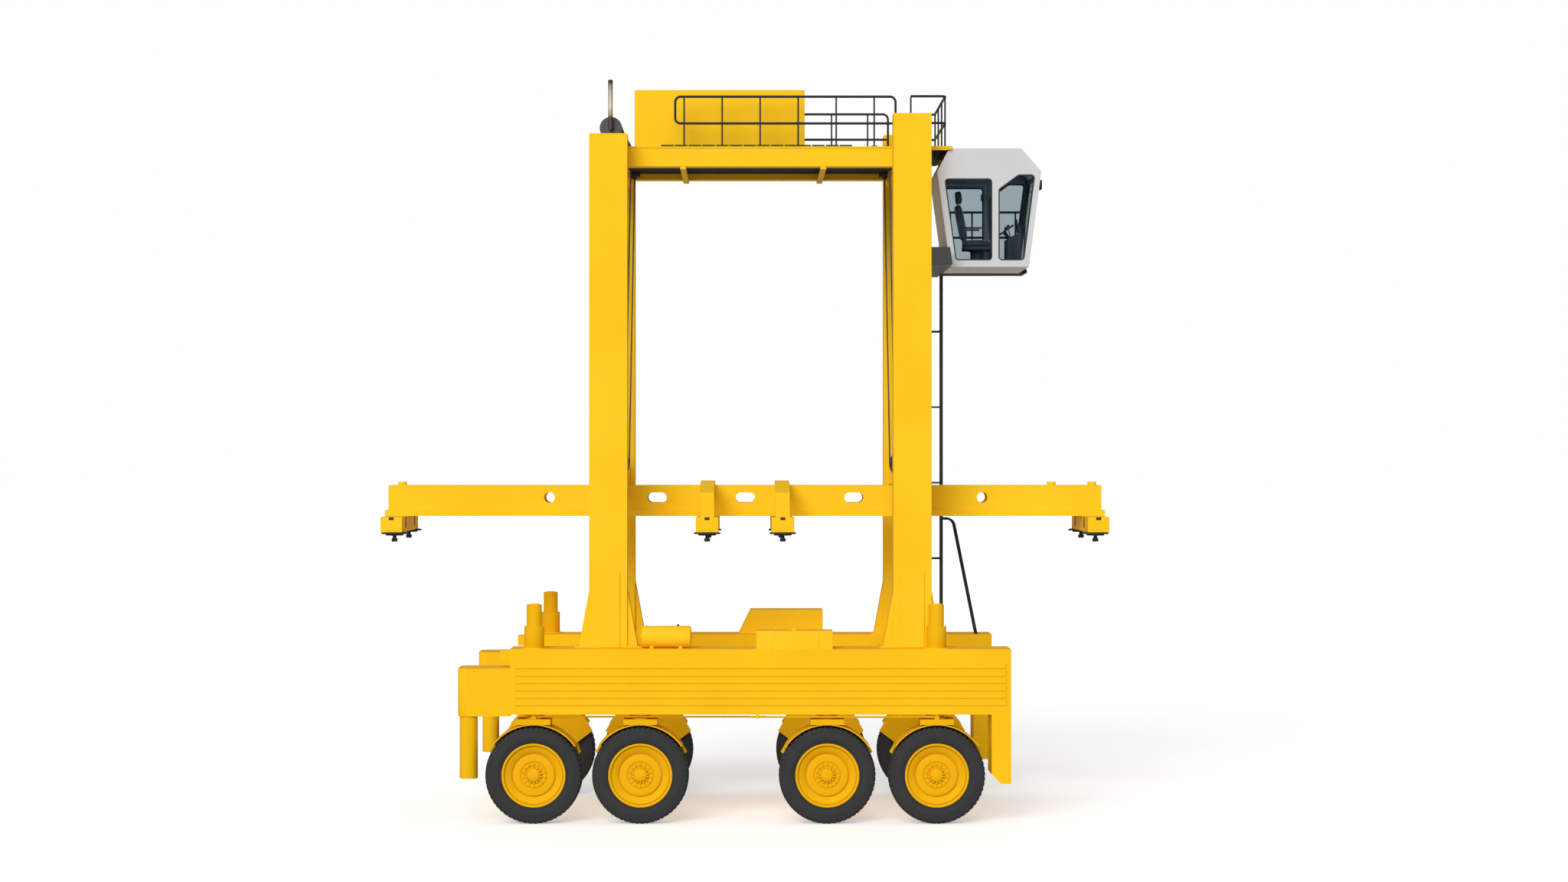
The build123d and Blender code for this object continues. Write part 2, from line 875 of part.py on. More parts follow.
def cut_window(outline, outer_face):
    """Take a round-cornered window out of the side wall whose right-hand limit follows outer_face."""
    with BuildPart(mode=Mode.PRIVATE) as window:
        with BuildSketch(side_plane(outer_face)) as shape:
            with BuildLine():
                Polyline(*outline, close=True)
            make_face()
            fillet(shape.vertices(), window_corner)
        extrude(amount=cab_wall)
    return window.part


def pane(outline, middle_y):
    """A glass pane that fills a side window, centred on the wall's middle."""
    with BuildPart() as glass:
        with BuildSketch(side_plane(middle_y + glass_thickness / 2)) as shape:
            with BuildLine():
                Polyline(*outline, close=True)
            make_face()
            fillet(shape.vertices(), window_corner)
        extrude(amount=glass_thickness)
    return glass.part


def end_pane(outer_x, low, high, inward):
    """A glass pane in the sloping front or rear wall between two heights."""
    near = inward * (cab_wall - glass_thickness) / 2
    far = inward * (cab_wall + glass_thickness) / 2
    with BuildPart() as glass:
        with BuildSketch(side_plane(end_window_y[1])):
            with BuildLine():
                Polyline(
                    (outer_x(low) + near, low),
                    (outer_x(low) + far, low),
                    (outer_x(high) + far, high),
                    (outer_x(high) + near, high),
                    close=True,
                )
            make_face()
        extrude(amount=end_window_y[1] - end_window_y[0])
    return glass.part


def cab_body():
    """The hollow cab as one shell, before it is split into floor, walls and roof."""
    with BuildPart() as body:
        with BuildSketch(side_plane(cab_left)):
            with BuildLine():
                Polyline(*cab_profile, close=True)
            make_face()
        extrude(amount=cab_width)
        with BuildSketch(side_plane(cab_left - cab_wall)):
            with BuildLine():
                Polyline(*cab_profile, close=True)
            make_face()
            offset(amount=-cab_wall, kind=Kind.INTERSECTION)
        extrude(amount=cab_width - 2 * cab_wall, mode=Mode.SUBTRACT)
    return body.part


whole_cab = cab_body()
with BuildPart() as cab_shell:
    add(whole_cab)
    slab(cab_reach, (cab_right, cab_left), (floor_plate_top, cab_shoulder_z), mode=Mode.INTERSECT)
    add(cut_window(rear_window, cab_right + cab_wall), mode=Mode.SUBTRACT)
    add(cut_window(front_window, cab_right + cab_wall), mode=Mode.SUBTRACT)
    add(cut_window(front_window, cab_left), mode=Mode.SUBTRACT)
    with BuildSketch(side_plane(cab_left)):
        with BuildLine():
            Polyline(*doorway, close=True)
        make_face()
    extrude(amount=cab_wall, mode=Mode.SUBTRACT)
    slab((window_step_x, cab_reach[1]), end_window_y, (window_bottom, window_front_top), mode=Mode.SUBTRACT)
    slab((cab_reach[0], window_mid_rear), end_window_y, (rear_window_bottom, window_top), mode=Mode.SUBTRACT)
save(cab_shell.part, "cab_shell")

with BuildPart() as cab_roof:
    add(whole_cab)
    slab(cab_reach, (cab_right, cab_left), (cab_shoulder_z, cab_roof_z), mode=Mode.INTERSECT)
save(cab_roof.part, "cab_roof")

with BuildPart() as cab_floor:
    with BuildSketch(side_plane(cab_left)):
        with BuildLine():
            Polyline(*cab_profile, close=True)
        make_face()
    extrude(amount=cab_width)
    slab(cab_reach, (cab_right, cab_left), (cab_floor_z, floor_plate_top), mode=Mode.INTERSECT)
save(cab_floor.part, "cab_floor")

with BuildPart() as cab_glass:
    add(pane(rear_window, cab_right + cab_wall / 2))
    add(pane(front_window, cab_right + cab_wall / 2))
    add(pane(front_window, cab_left - cab_wall / 2))
    add(end_pane(cab_front_x, window_bottom, window_front_top, -1))
    add(end_pane(cab_rear_x, rear_window_bottom, window_top, 1))
save(cab_glass.part, "cab_glass")

hinge_y = cab_left + hinge_radius + seat_gap
with BuildPart() as cab_door:
    with BuildSketch(side_plane(cab_left)):
        with BuildLine():
            Polyline(*doorway, close=True)
        make_face()
        offset(amount=-door_gap, kind=Kind.INTERSECTION)
    extrude(amount=cab_wall)
    add(cut_window(rear_window, cab_left), mode=Mode.SUBTRACT)
    for hinge_z in (door_sill + hinge_inset, door_head - hinge_inset):
        half = hinge_length / 2
        bar((door_front, hinge_y, hinge_z - half), (door_front, hinge_y, hinge_z + half), hinge_radius)
        slab(
            (door_front - hinge_leaf_length, door_front - door_gap),
            (cab_left, cab_left + hinge_leaf_thickness),
            (hinge_z - half, hinge_z + half),
        )
        slab(
            (door_front - hinge_radius, door_front),
            (cab_left + hinge_leaf_thickness / 2, cab_left + hinge_radius),
            (hinge_z - half, hinge_z + half),
        )
save(cab_door.part, "cab_door")
save(pane(rear_window, cab_left - cab_wall / 2), "cab_door_glass")

# Driver's seat and console
seat_x = cab_floor_rear + seat_place
cushion_top = floor_plate_top + seat_height
back_top = cushion_top + seat_back_height
seat_back = seat_x - seat_back_thickness
with BuildPart() as cab_seat:
    with BuildSketch(side_plane(cab_middle_y + seat_width / 2)):
        with BuildLine():
            Polyline(
                (seat_x, floor_plate_top),
                (seat_x + seat_depth - seat_pad, floor_plate_top),
                (seat_x + seat_depth - seat_pad, cushion_top - seat_pad),
                (seat_x + seat_depth, cushion_top - seat_pad),
                (seat_x + seat_depth, cushion_top),
                (seat_x + seat_pad, cushion_top),
                (seat_x, back_top),
                (seat_back, back_top),
                (seat_x, cushion_top - seat_pad),
                close=True,
            )
        make_face()
    extrude(amount=seat_width)
    headrest_across = (cab_middle_y - headrest_width / 2, cab_middle_y + headrest_width / 2)
    slab((seat_back, seat_x), headrest_across, (back_top, back_top + headrest_height))
save(cab_seat.part, "cab_seat")

console_x = cab_floor_front - console_place
with BuildPart() as cab_console:
    console_top = floor_plate_top + console_height
    with BuildSketch(side_plane(cab_middle_y + console_width / 2)):
        with BuildLine():
            Polyline(
                (console_x, floor_plate_top),
                (console_x + console_depth, floor_plate_top),
                (console_x + console_depth, console_top),
                (console_x, console_top - console_depth / 2),
                close=True,
            )
        make_face()
    extrude(amount=console_width)
save(cab_console.part, "cab_console")

# Tanks and locker on the sills
with BuildPart() as round_tank:
    tank_y = -stand_y
    tank_z = sill_top + round_tank_radius + round_tank_rise
    round_tank_front = round_tank_rear + round_tank_length
    bar((round_tank_rear, tank_y, tank_z), (round_tank_front, tank_y, tank_z), round_tank_radius)
    for foot_x in (round_tank_rear + round_tank_length / 5, round_tank_front - round_tank_length / 5):
        slab(
            (foot_x - round_tank_foot / 2, foot_x + round_tank_foot / 2),
            (tank_y - round_tank_radius / 2, tank_y + round_tank_radius / 2),
            (sill_top, tank_z),
        )
save(round_tank.part, "round_tank")

with BuildPart() as box_tank:
    tank_top = sill_top + box_tank_height
    slab(
        (box_tank_rear, box_tank_rear + box_tank_length),
        (-stand_y - box_tank_width / 2, -stand_y + box_tank_width / 2),
        (sill_top, tank_top),
    )
    filler_x = box_tank_rear + box_tank_length / 2
    bar((filler_x, -stand_y, tank_top), (filler_x, -stand_y, tank_top + filler_height), filler_radius)
save(box_tank.part, "box_tank")

with BuildPart() as locker:
    with BuildSketch(side_plane(stand_y + locker_width / 2)):
        with BuildLine():
            Polyline(
                (locker_rear, sill_top),
                (locker_rear + locker_length, sill_top),
                (locker_rear + locker_length, sill_top + locker_height),
                (locker_rear + locker_slope, sill_top + locker_height),
                close=True,
            )
        make_face()
    extrude(amount=locker_width)
save(locker.part, "locker")

# Spreader: main beam, end beams, twin-lift units, locks, hoist arms and sheaves
with BuildPart() as spreader_beam:
    slab(
        (-flange_half_length, flange_half_length),
        (-flange_half_width, flange_half_width),
        (flange_bottom, flange_top),
    )
    slab((-beam_half_length, beam_half_length), (-beam_half_width, beam_half_width), (flange_top, beam_top))
    with BuildSketch(side_plane(beam_half_width)):
        for hole_x, is_slot in BEAM_HOLES:
            with Locations((hole_x, flange_top + hole_rise)):
                if is_slot:
                    SlotOverall(slot_length, slot_height)
                else:
                    Circle(hole_radius)
    extrude(amount=2 * beam_half_width, mode=Mode.SUBTRACT)
    for end, inset in BEAM_BOSSES:
        boss_x = end * (beam_half_length - inset)
        bar((boss_x, 0, beam_top), (boss_x, 0, beam_top + boss_height), boss_radius)
save(spreader_beam.part, "spreader_beam")

with BuildPart() as end_beams:
    for end in (-1, 1):
        slab(
            (end * (end_beam_outer - end_beam_width), end * end_beam_outer),
            (-end_beam_half_span, end_beam_half_span),
            (end_beam_bottom, flange_bottom),
        )
save(end_beams.part, "spreader_end_beams")

with BuildPart() as twin_units:
    arm_outer = end_beam_half_span - twin_arm_thickness / 2
    arm_inner = arm_outer - twin_arm_thickness
    twin_shoulder_z = beam_top + twin_shoulder_rise
    twin_drop_z = beam_top - twin_drop
    for end in (-1, 1):
        with BuildSketch(cross_plane(end * twin_x - twin_arm_width / 2)):
            with BuildLine():
                Polyline(
                    (-arm_outer, flange_bottom),
                    (-arm_outer, twin_drop_z),
                    (-twin_shoulder_y, twin_shoulder_z),
                    (twin_shoulder_y, twin_shoulder_z),
                    (arm_outer, twin_drop_z),
                    (arm_outer, flange_bottom),
                    (arm_inner, flange_bottom),
                    (arm_inner, twin_drop_z - twin_arm_thickness / 2),
                    (beam_half_width, beam_top),
                    (-beam_half_width, beam_top),
                    (-arm_inner, twin_drop_z - twin_arm_thickness / 2),
                    (-arm_inner, flange_bottom),
                    close=True,
                )
            make_face()
        extrude(amount=twin_arm_width)
        for _, side in SIDES:
            slab(
                (end * twin_x - twin_box_width / 2, end * twin_x + twin_box_width / 2),
                (side * (end_beam_half_span - twin_box_depth), side * end_beam_half_span),
                (end_beam_bottom, flange_bottom),
            )
save(twin_units.part, "spreader_twin_units")

step_bottom = end_beam_bottom - lock_disc_thickness - lock_step_thickness
neck_bottom = step_bottom - lock_neck_length
with BuildPart() as twistlocks:
    for place in (-lock_outer_x, -twin_x, twin_x, lock_outer_x):
        for _, side in SIDES:
            lock_middle = side * lock_y
            # radius, top and thickness of each pad under the beam
            for radius, top, thickness in (
                (lock_disc_radius, end_beam_bottom, lock_disc_thickness),
                (lock_step_radius, end_beam_bottom - lock_disc_thickness, lock_step_thickness),
            ):
                with BuildSketch(Plane.XY.offset(top)):
                    with Locations((place, lock_middle)):
                        RegularPolygon(radius, lock_sides)
                extrude(amount=-thickness)
            head_across = (lock_middle - lock_head_width / 2, lock_middle + lock_head_width / 2)
            slab(
                (place - lock_head_width / 2, place + lock_head_width / 2),
                head_across,
                (neck_bottom, step_bottom),
            )
            slab(
                (place - lock_head_length / 2, place + lock_head_length / 2),
                head_across,
                (neck_bottom - lock_head_height, neck_bottom),
            )
save(twistlocks.part, "spreader_twistlocks")

arm_top = beam_top + hoist_arm_height
sheave_z = arm_top + sheave_rise
cheek_offset = sheave_width / 2 + cheek_plate_gap
shoe_face = leg_inner - seat_gap
with BuildPart() as hoist_arms:
    for place in (rear_leg_x, front_leg_x):
        slab(
            (place - hoist_arm_width / 2, place + hoist_arm_width / 2),
            (-shoe_face, shoe_face),
            (beam_top, arm_top),
        )
        for _, side in SIDES:
            for face in (-1, 1):
                near = side * sheave_y + face * cheek_offset
                far = near + face * cheek_plate
                slab(
                    (place - cheek_plate_width / 2, place + cheek_plate_width / 2),
                    (near, far),
                    (arm_top, sheave_z + sheave_pin_radius),
                )
            slab(
                (place - guide_shoe_length / 2, place + guide_shoe_length / 2),
                (side * (shoe_face - guide_shoe_thickness), side * shoe_face),
                (beam_top, beam_top + guide_shoe_height),
            )
            pin_half = cheek_offset + cheek_plate
            sided_bar(
                (place, side * sheave_y - pin_half, sheave_z),
                (place, side * sheave_y + pin_half, sheave_z),
                sheave_pin_radius,
                sheave_pin_sides,
            )
save(hoist_arms.part, "spreader_hoist_arms")

with BuildPart() as sheaves:
    for place in (rear_leg_x, front_leg_x):
        for _, side in SIDES:
            with BuildSketch(side_plane(side * sheave_y + sheave_width / 2)):
                with Locations((place, sheave_z)):
                    RegularPolygon(sheave_radius, sheave_sides)
                    RegularPolygon(sheave_pin_radius + seat_gap, sheave_pin_sides, mode=Mode.SUBTRACT)
            extrude(amount=sheave_width)
save(sheaves.part, "spreader_sheaves")

# Steering rods, which slide in the guides below the sills
rear_axle_x = AXLES[0][1]
front_axle_x = AXLES[-1][1]
# rod set name, side of its front rod
for set_name, front_side in (("a", -1), ("b", 1)):
    with BuildPart() as rods:
        # place of the eye, place of the free end, distance from the middle of the machine
        for eye_x, free_x, rod_y in (
            (front_axle_x, rod_guide_x - rod_overlap, front_side * rod_front_y),
            (rear_axle_x, rod_guide_x + rod_overlap, -front_side * rod_rear_y),
        ):
            sided_bar((eye_x, rod_y, rod_z), (free_x, rod_y, rod_z), rod_radius, rod_sides)
            slab(
                (eye_x - rod_eye_length / 2, eye_x + rod_eye_length / 2),
                (rod_y - rod_eye_width / 2, rod_y + rod_eye_width / 2),
                (arm_plate_top + seat_gap, rod_z + rod_radius),
            )
    save(rods.part, "steering_rods_" + set_name)
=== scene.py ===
"""Looks of a straddle carrier: finishes for every solid, and the fine pieces that ride on them."""

import bmesh
import bpy
import json
import math
from itertools import product
from mathutils import Matrix, Vector


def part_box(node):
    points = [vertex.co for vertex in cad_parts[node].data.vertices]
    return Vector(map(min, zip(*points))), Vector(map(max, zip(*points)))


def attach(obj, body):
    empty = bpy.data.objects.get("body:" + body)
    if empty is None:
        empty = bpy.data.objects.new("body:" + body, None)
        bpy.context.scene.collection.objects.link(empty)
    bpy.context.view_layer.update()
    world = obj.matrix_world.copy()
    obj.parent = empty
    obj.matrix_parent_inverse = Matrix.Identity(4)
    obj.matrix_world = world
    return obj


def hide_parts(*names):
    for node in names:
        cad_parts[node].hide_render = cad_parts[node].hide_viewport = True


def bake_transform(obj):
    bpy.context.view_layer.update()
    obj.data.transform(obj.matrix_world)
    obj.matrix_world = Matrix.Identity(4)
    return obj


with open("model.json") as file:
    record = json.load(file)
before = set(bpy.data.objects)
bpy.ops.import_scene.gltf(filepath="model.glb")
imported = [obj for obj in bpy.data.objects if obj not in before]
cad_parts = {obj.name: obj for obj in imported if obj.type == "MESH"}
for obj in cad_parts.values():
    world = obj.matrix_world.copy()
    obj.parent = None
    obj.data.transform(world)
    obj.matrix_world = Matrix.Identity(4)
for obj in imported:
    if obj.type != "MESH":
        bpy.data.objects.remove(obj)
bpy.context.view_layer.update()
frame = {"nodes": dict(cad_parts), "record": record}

# Stations
AXLES = ("axle_1", "axle_2", "axle_3", "axle_4")
SIDES = (("right", -1), ("left", 1))
BOTH_SIDES = (-1, 1)
ORIGIN = (0.0, 0.0, 0.0)

# Camera: place in metres, lens and sensor in millimetres, shift in shares of the image width
CAMERA_PLACE = (0.0, -54.0, 6.24)
CAMERA_LENS = 71.72
CAMERA_SENSOR = 36.0
CAMERA_REACH = 1000.0
CAMERA_SHIFT = (0.0249, 0.0034)

# Light and floor
SKY_LIGHT = 0.42
SKY_SEEN = 1.0
SUN_STRENGTH = 2.35
SUN_SPREAD = math.radians(40)
SUN_DIRECTION = (0.3, 1.0, -0.5)
FLOOR_HALF_SIZE = 400.0
FLOOR_GLOW = 0.36

# Linear colours
WHITE = (1.0, 1.0, 1.0, 1.0)
YELLOW = (0.97, 0.59, 0.016)
YELLOW_DEEP = (0.92, 0.53, 0.012)
# deeper sill and gear yellows: painted shade, darker because the light falls off towards the ground
SILL_SHADE_YELLOW = (0.95, 0.54, 0.009)
SILL_SHADE_YELLOW_DEEP = (0.9, 0.49, 0.007)
GEAR_SHADE_YELLOW = (0.835, 0.45, 0.0045)
GEAR_SHADE_YELLOW_DEEP = (0.79, 0.405, 0.0035)
DARK_GREY = (0.05, 0.051, 0.054)
RAIL_BLACK = (0.022, 0.023, 0.025)
# near-black: the landing's dark paint, and dark underside paint with painted shade on faces that look down
DARK_AND_SHADE_BLACK = (0.028, 0.024, 0.02)
CAB_WHITE = (0.66, 0.66, 0.67)
CAB_GREY = (0.58, 0.58, 0.59)
TRIM_SLATE = (0.12, 0.16, 0.185)
GLASS_BLUE = (0.85, 0.95, 0.985)
TYRE_GREY = (0.0215, 0.0215, 0.022)
LOCK_BLACK = (0.03, 0.03, 0.03)
SEAT_GREY = (0.028, 0.033, 0.042)
SOOT = (0.02, 0.02, 0.02)
ROPE_GREY = (0.16, 0.155, 0.15)
# dark brown of the deck gratings, also used as painted shade in the lock sight slots
GRATE_AND_SLOT_SHADE_BROWN = (0.05, 0.04, 0.03)
FLOOR_PALE = (0.95, 0.95, 0.95)
FLOOR_SHADE = (0.93, 0.93, 0.93)

# Cab outline seen from the side, as (X, Z) corners, and its windows
CAB_FLOOR_Z = 9.26
CAB_SHOULDER_Z = 10.87
CAB_ROOF_Z = 11.253
CAB_PROFILE = (
    (3.457, CAB_FLOOR_Z), (4.778, CAB_FLOOR_Z), (4.986, CAB_SHOULDER_Z),
    (4.646, CAB_ROOF_Z), (3.436, CAB_ROOF_Z), (3.236, CAB_SHOULDER_Z),
)
CAB_ACROSS = (-1.45, 0.55)
CAB_WALL = 0.06
WINDOW_LOW = 9.37
WINDOW_HIGH = 10.747
WINDOW_FRONT_HIGH = 10.814
WINDOW_MIDDLE = (4.159, 4.266)
WINDOW_STEP = (4.6, 10.57)
WINDOW_REAR_MARGIN = 0.1
WINDOW_FRONT_MARGIN = 0.095
WINDOW_CORNER = 0.06
END_WINDOW_MARGIN = 0.12
END_WINDOW_CORNER = 0.006

# Underside of the top frame, between its beams
SOFFIT_Z = 11.05
SOFFIT_HALF_SPAN = 1.158
SOFFIT_THICKNESS = 0.012

# Hoist ropes and sheaves
ROPE_RADIUS = 0.014
ROPE_LAY = 0.26
SHEAVE_PITCH_RADIUS = 0.24
SHEAVE_HALF_WIDTH = 0.035


def cab_edge(low, high, z):
    """Place along X at height z on the straight line between two cab corners."""
    share = (z - low[1]) / (high[1] - low[1])
    return low[0] + share * (high[0] - low[0])


def cab_rear(z):
    """Place along X of the cab's rear face at height z."""
    return cab_edge(CAB_PROFILE[0], CAB_PROFILE[5], z)


def cab_front(z):
    """Place along X of the cab's front face at height z."""
    return cab_edge(CAB_PROFILE[1], CAB_PROFILE[2], z)


def darker(color, share):
    """A colour multiplied by a share."""
    return tuple(channel * share for channel in color)


# Node helpers
def new_material(name):
    """A node material with its tree and shader, ready for links."""
    material = bpy.data.materials.new(name)
    material.use_nodes = True
    tree = material.node_tree
    return material, tree, tree.nodes["Principled BSDF"]


def feed(node, values):
    """Give a node's inputs, by name or number, a value each or a link from another node's output."""
    for name, value in values.items():
        if isinstance(value, bpy.types.NodeSocket):
            node.id_data.links.new(value, node.inputs[name])
        else:
            node.inputs[name].default_value = value


def coordinates(tree, kind="Object"):
    """A place, or a normal, in the piece's own space."""
    return tree.nodes.new("ShaderNodeTexCoord").outputs[kind]


def along_axis(tree, axis, kind="Object"):
    """One part of a place, or of a normal, in the piece's own space."""
    split = tree.nodes.new("ShaderNodeSeparateXYZ")
    feed(split, {"Vector": coordinates(tree, kind)})
    return split.outputs[axis]


def noise(tree, scale, detail=4.0):
    """A noise pattern in the piece's own space."""
    pattern = tree.nodes.new("ShaderNodeTexNoise")
    feed(pattern, {"Scale": scale, "Detail": detail, "Roughness": 0.55, "Vector": coordinates(tree)})
    return pattern.outputs["Fac"]


def ramp(tree, value, *stops):
    """A colour ramp driven by a value, through two or more stops of (place, colour)."""
    node = tree.nodes.new("ShaderNodeValToRGB")
    elements = node.color_ramp.elements
    for index in (0, -1):
        elements[index].position = stops[index][0]
        elements[index].color = (*stops[index][1], 1.0)
    for place, color in stops[1:-1]:
        elements.new(place).color = (*color, 1.0)
    feed(node, {"Fac": value})
    return node.outputs["Color"]


def value_range(tree, value, low, high, start=0.0, end=1.0):
    """A number that runs from low to high as the value runs from start to end."""
    node = tree.nodes.new("ShaderNodeMapRange")
    feed(node, {"From Min": start, "From Max": end, "To Min": low, "To Max": high, "Value": value})
    return node.outputs["Result"]


def combine(tree, operation, first, second):
    """A maths node; the second input is another output or a number."""
    node = tree.nodes.new("ShaderNodeMath")
    node.operation = operation
    feed(node, {0: first, 1: second})
    return node.outputs["Value"]


def mix_color(tree, mask, outside, inside):
    """One colour where a mask is 0 and another where it is 1."""
    node = tree.nodes.new("ShaderNodeMix")
    node.data_type = "RGBA"
    feed(node, {"Factor": mask})
    color_inputs = [socket for socket in node.inputs if socket.type == "RGBA"]
    tree.links.new(outside, color_inputs[0])
    tree.links.new(inside, color_inputs[1])
    return next(socket for socket in node.outputs if socket.type == "RGBA")


def add_bump(tree, shader, value, strength, distance):
    """Drive the shader's normal by a height value."""
    node = tree.nodes.new("ShaderNodeBump")
    feed(node, {"Strength": strength, "Distance": distance, "Height": value})
    feed(shader, {"Normal": node.outputs["Normal"]})


# Masks
def inside_cab(tree):
    """1 on the cab's inner faces, 0 on its outer ones, split at the middle of the walls."""
    depth = CAB_WALL / 2
    planes = []
    for index, (x, z) in enumerate(CAB_PROFILE):
        next_x, next_z = CAB_PROFILE[(index + 1) % len(CAB_PROFILE)]
        outward = Vector((next_z - z, 0.0, x - next_x)).normalized()
        planes.append((outward, outward.dot(Vector((x, 0.0, z)))))
    planes.append((Vector((0.0, -1.0, 0.0)), -CAB_ACROSS[0]))
    planes.append((Vector((0.0, 1.0, 0.0)), CAB_ACROSS[1]))
    mask = None
    for outward, limit in planes:
        along = tree.nodes.new("ShaderNodeVectorMath")
        along.operation = "DOT_PRODUCT"
        feed(along, {0: coordinates(tree), 1: outward})
        test = combine(tree, "LESS_THAN", along.outputs["Value"], limit - depth)
        mask = test if mask is None else combine(tree, "MULTIPLY", mask, test)
    return mask


def shade_under_or_landing(tree):
    """1 on faces that look down, darkened as dark underside paint and painted shade, and on the landing
    beside the cab, 0 elsewhere.
    """
    looks_down = -0.5
    under = combine(tree, "LESS_THAN", along_axis(tree, "Z", "Normal"), looks_down)
    landing = combine(tree, "LESS_THAN", along_axis(tree, "Z"), CAB_SHOULDER_Z)
    return combine(tree, "MAXIMUM", under, landing)


# Materials
def paint(
    name, light, deep, rough=(0.36, 0.5), metallic=0.0, grain=38.0, shine=0.2, mask=None, masked=None,
):
    """Sprayed paint: slow change of tone, uneven gloss and orange peel; another colour where masked."""
    material, tree, shader = new_material(name)
    tone = noise(tree, scale=0.55, detail=5.0)
    color = ramp(tree, tone, (0.32, deep), (0.72, light))
    if mask:
        masked_tone = noise(tree, scale=1.6, detail=5.0)
        other = ramp(tree, masked_tone, (0.3, darker(masked, 0.8)), (0.7, masked))
        color = mix_color(tree, mask(tree), color, other)
    gloss = value_range(tree, noise(tree, scale=3.1), *rough)
    feed(shader, {"Base Color": color, "Roughness": gloss, "Metallic": metallic, "Specular IOR Level": shine})
    add_bump(tree, shader, noise(tree, grain, detail=2.0), strength=0.12, distance=0.004)
    return material


def rubber(name, light, deep, grain=55.0):
    """Matt rubber with a dusty tone and a fine grain."""
    material, tree, shader = new_material(name)
    dust = noise(tree, scale=2.4, detail=6.0)
    gloss = value_range(tree, noise(tree, scale=9.0), 0.7, 0.9)
    feed(shader, {"Base Color": ramp(tree, dust, (0.35, deep), (0.7, light)), "Roughness": gloss})
    add_bump(tree, shader, noise(tree, grain, detail=3.0), strength=0.25, distance=0.003)
    return material


def tinted_glass(name):
    """Blue-grey cab glass, lightly uneven."""
    material, tree, shader = new_material(name)
    tint = ramp(tree, noise(tree, scale=1.2), (0.3, darker(GLASS_BLUE, 0.96)), (0.7, GLASS_BLUE))
    feed(shader, {"Base Color": tint, "Roughness": 0.03, "Transmission Weight": 1.0, "IOR": 1.05})
    add_bump(tree, shader, noise(tree, scale=0.8, detail=1.0), strength=0.02, distance=0.002)
    return material


def exhaust_metal(name):
    """A grey drum and a bright heat-tinted stack with a sooty mouth, by height."""
    material, tree, shader = new_material(name)
    low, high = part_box("exhaust")
    height = value_range(tree, along_axis(tree, "Z"), 0.0, 1.0, low.z, high.z)
    # height as a share of the exhaust, colour there
    bands = (
        (0.0, DARK_GREY), (0.36, DARK_GREY), (0.40, (0.33, 0.25, 0.14)), (0.56, (0.62, 0.58, 0.5)),
        (0.80, (0.45, 0.40, 0.31)), (0.93, (0.2, 0.16, 0.1)), (0.95, SOOT), (1.0, SOOT),
    )
    gloss = value_range(tree, noise(tree, scale=6.0), 0.3, 0.55)
    feed(shader, {"Base Color": ramp(tree, height, *bands), "Roughness": gloss, "Metallic": 0.45})
    add_bump(tree, shader, noise(tree, scale=45.0), strength=0.1, distance=0.003)
    return material


def woven(name, light, deep):
    """Seat cloth: a fine crossed weave with a little sheen."""
    material, tree, shader = new_material(name)
    heights = []
    for direction in ("X", "Z"):
        wave = tree.nodes.new("ShaderNodeTexWave")
        wave.bands_direction = direction
        feed(wave, {"Scale": 70.0, "Vector": coordinates(tree)})
        heights.append(wave.outputs["Fac"])
    tone = ramp(tree, noise(tree, scale=14.0), (0.3, deep), (0.7, light))
    feed(shader, {"Base Color": tone, "Roughness": 0.85, "Sheen Weight": 0.3})
    add_bump(tree, shader, combine(tree, "MULTIPLY", *heights), strength=0.3, distance=0.002)
    return material


SATIN = {"rough": (0.5, 0.65), "shine": 0.05}
MATERIALS = {
    "yellow_paint": paint("yellow_paint", YELLOW, YELLOW_DEEP, **SATIN),
    # deck paint turns near-black on faces that look down, as dark underside paint and painted shade, and on
    # the landing
    "deck_paint": paint(
        "deck_paint", YELLOW, YELLOW_DEEP, rough=(0.5, 0.7), grain=60.0, shine=0.05,
        mask=shade_under_or_landing, masked=DARK_AND_SHADE_BLACK,
    ),
    "grey_paint": paint("grey_paint", DARK_GREY, darker(DARK_GREY, 0.8)),
    "black_paint": paint("black_paint", RAIL_BLACK, darker(RAIL_BLACK, 0.7)),
    "white_paint": paint(
        "white_paint", CAB_WHITE, CAB_GREY, rough=(0.4, 0.55), mask=inside_cab, masked=TRIM_SLATE,
    ),
    "exhaust_metal": exhaust_metal("exhaust_metal"),
    "cab_glass": tinted_glass("cab_glass"),
    "seat_fabric": woven("seat_fabric", SEAT_GREY, darker(SEAT_GREY, 0.7)),
    "console_plastic": rubber("console_plastic", SEAT_GREY, darker(SEAT_GREY, 0.8), grain=90.0),
    "lock_rubber": rubber("lock_rubber", LOCK_BLACK, darker(LOCK_BLACK, 0.6)),
    "tyre_rubber": rubber("tyre_rubber", TYRE_GREY, darker(TYRE_GREY, 0.85)),
}
WIRE = paint("wire_rope", ROPE_GREY, darker(ROPE_GREY, 0.6), rough=(0.35, 0.5), metallic=0.8)
# near-black underside finish: dark paint and painted shade
UNDERSIDE_DARK_AND_SHADE = paint("underside_dark_and_shade", DARK_AND_SHADE_BLACK, darker(DARK_AND_SHADE_BLACK, 0.7), rough=(0.6, 0.8), shine=0.05)
TRIM = paint("cab_trim_slate", TRIM_SLATE, darker(TRIM_SLATE, 0.8), rough=(0.6, 0.8), shine=0.1)
GRATE_AND_SLOT_SHADE = paint("grate_steel_and_slot_shade", GRATE_AND_SLOT_SHADE_BROWN, darker(GRATE_AND_SLOT_SHADE_BROWN, 0.7), rough=(0.5, 0.7))
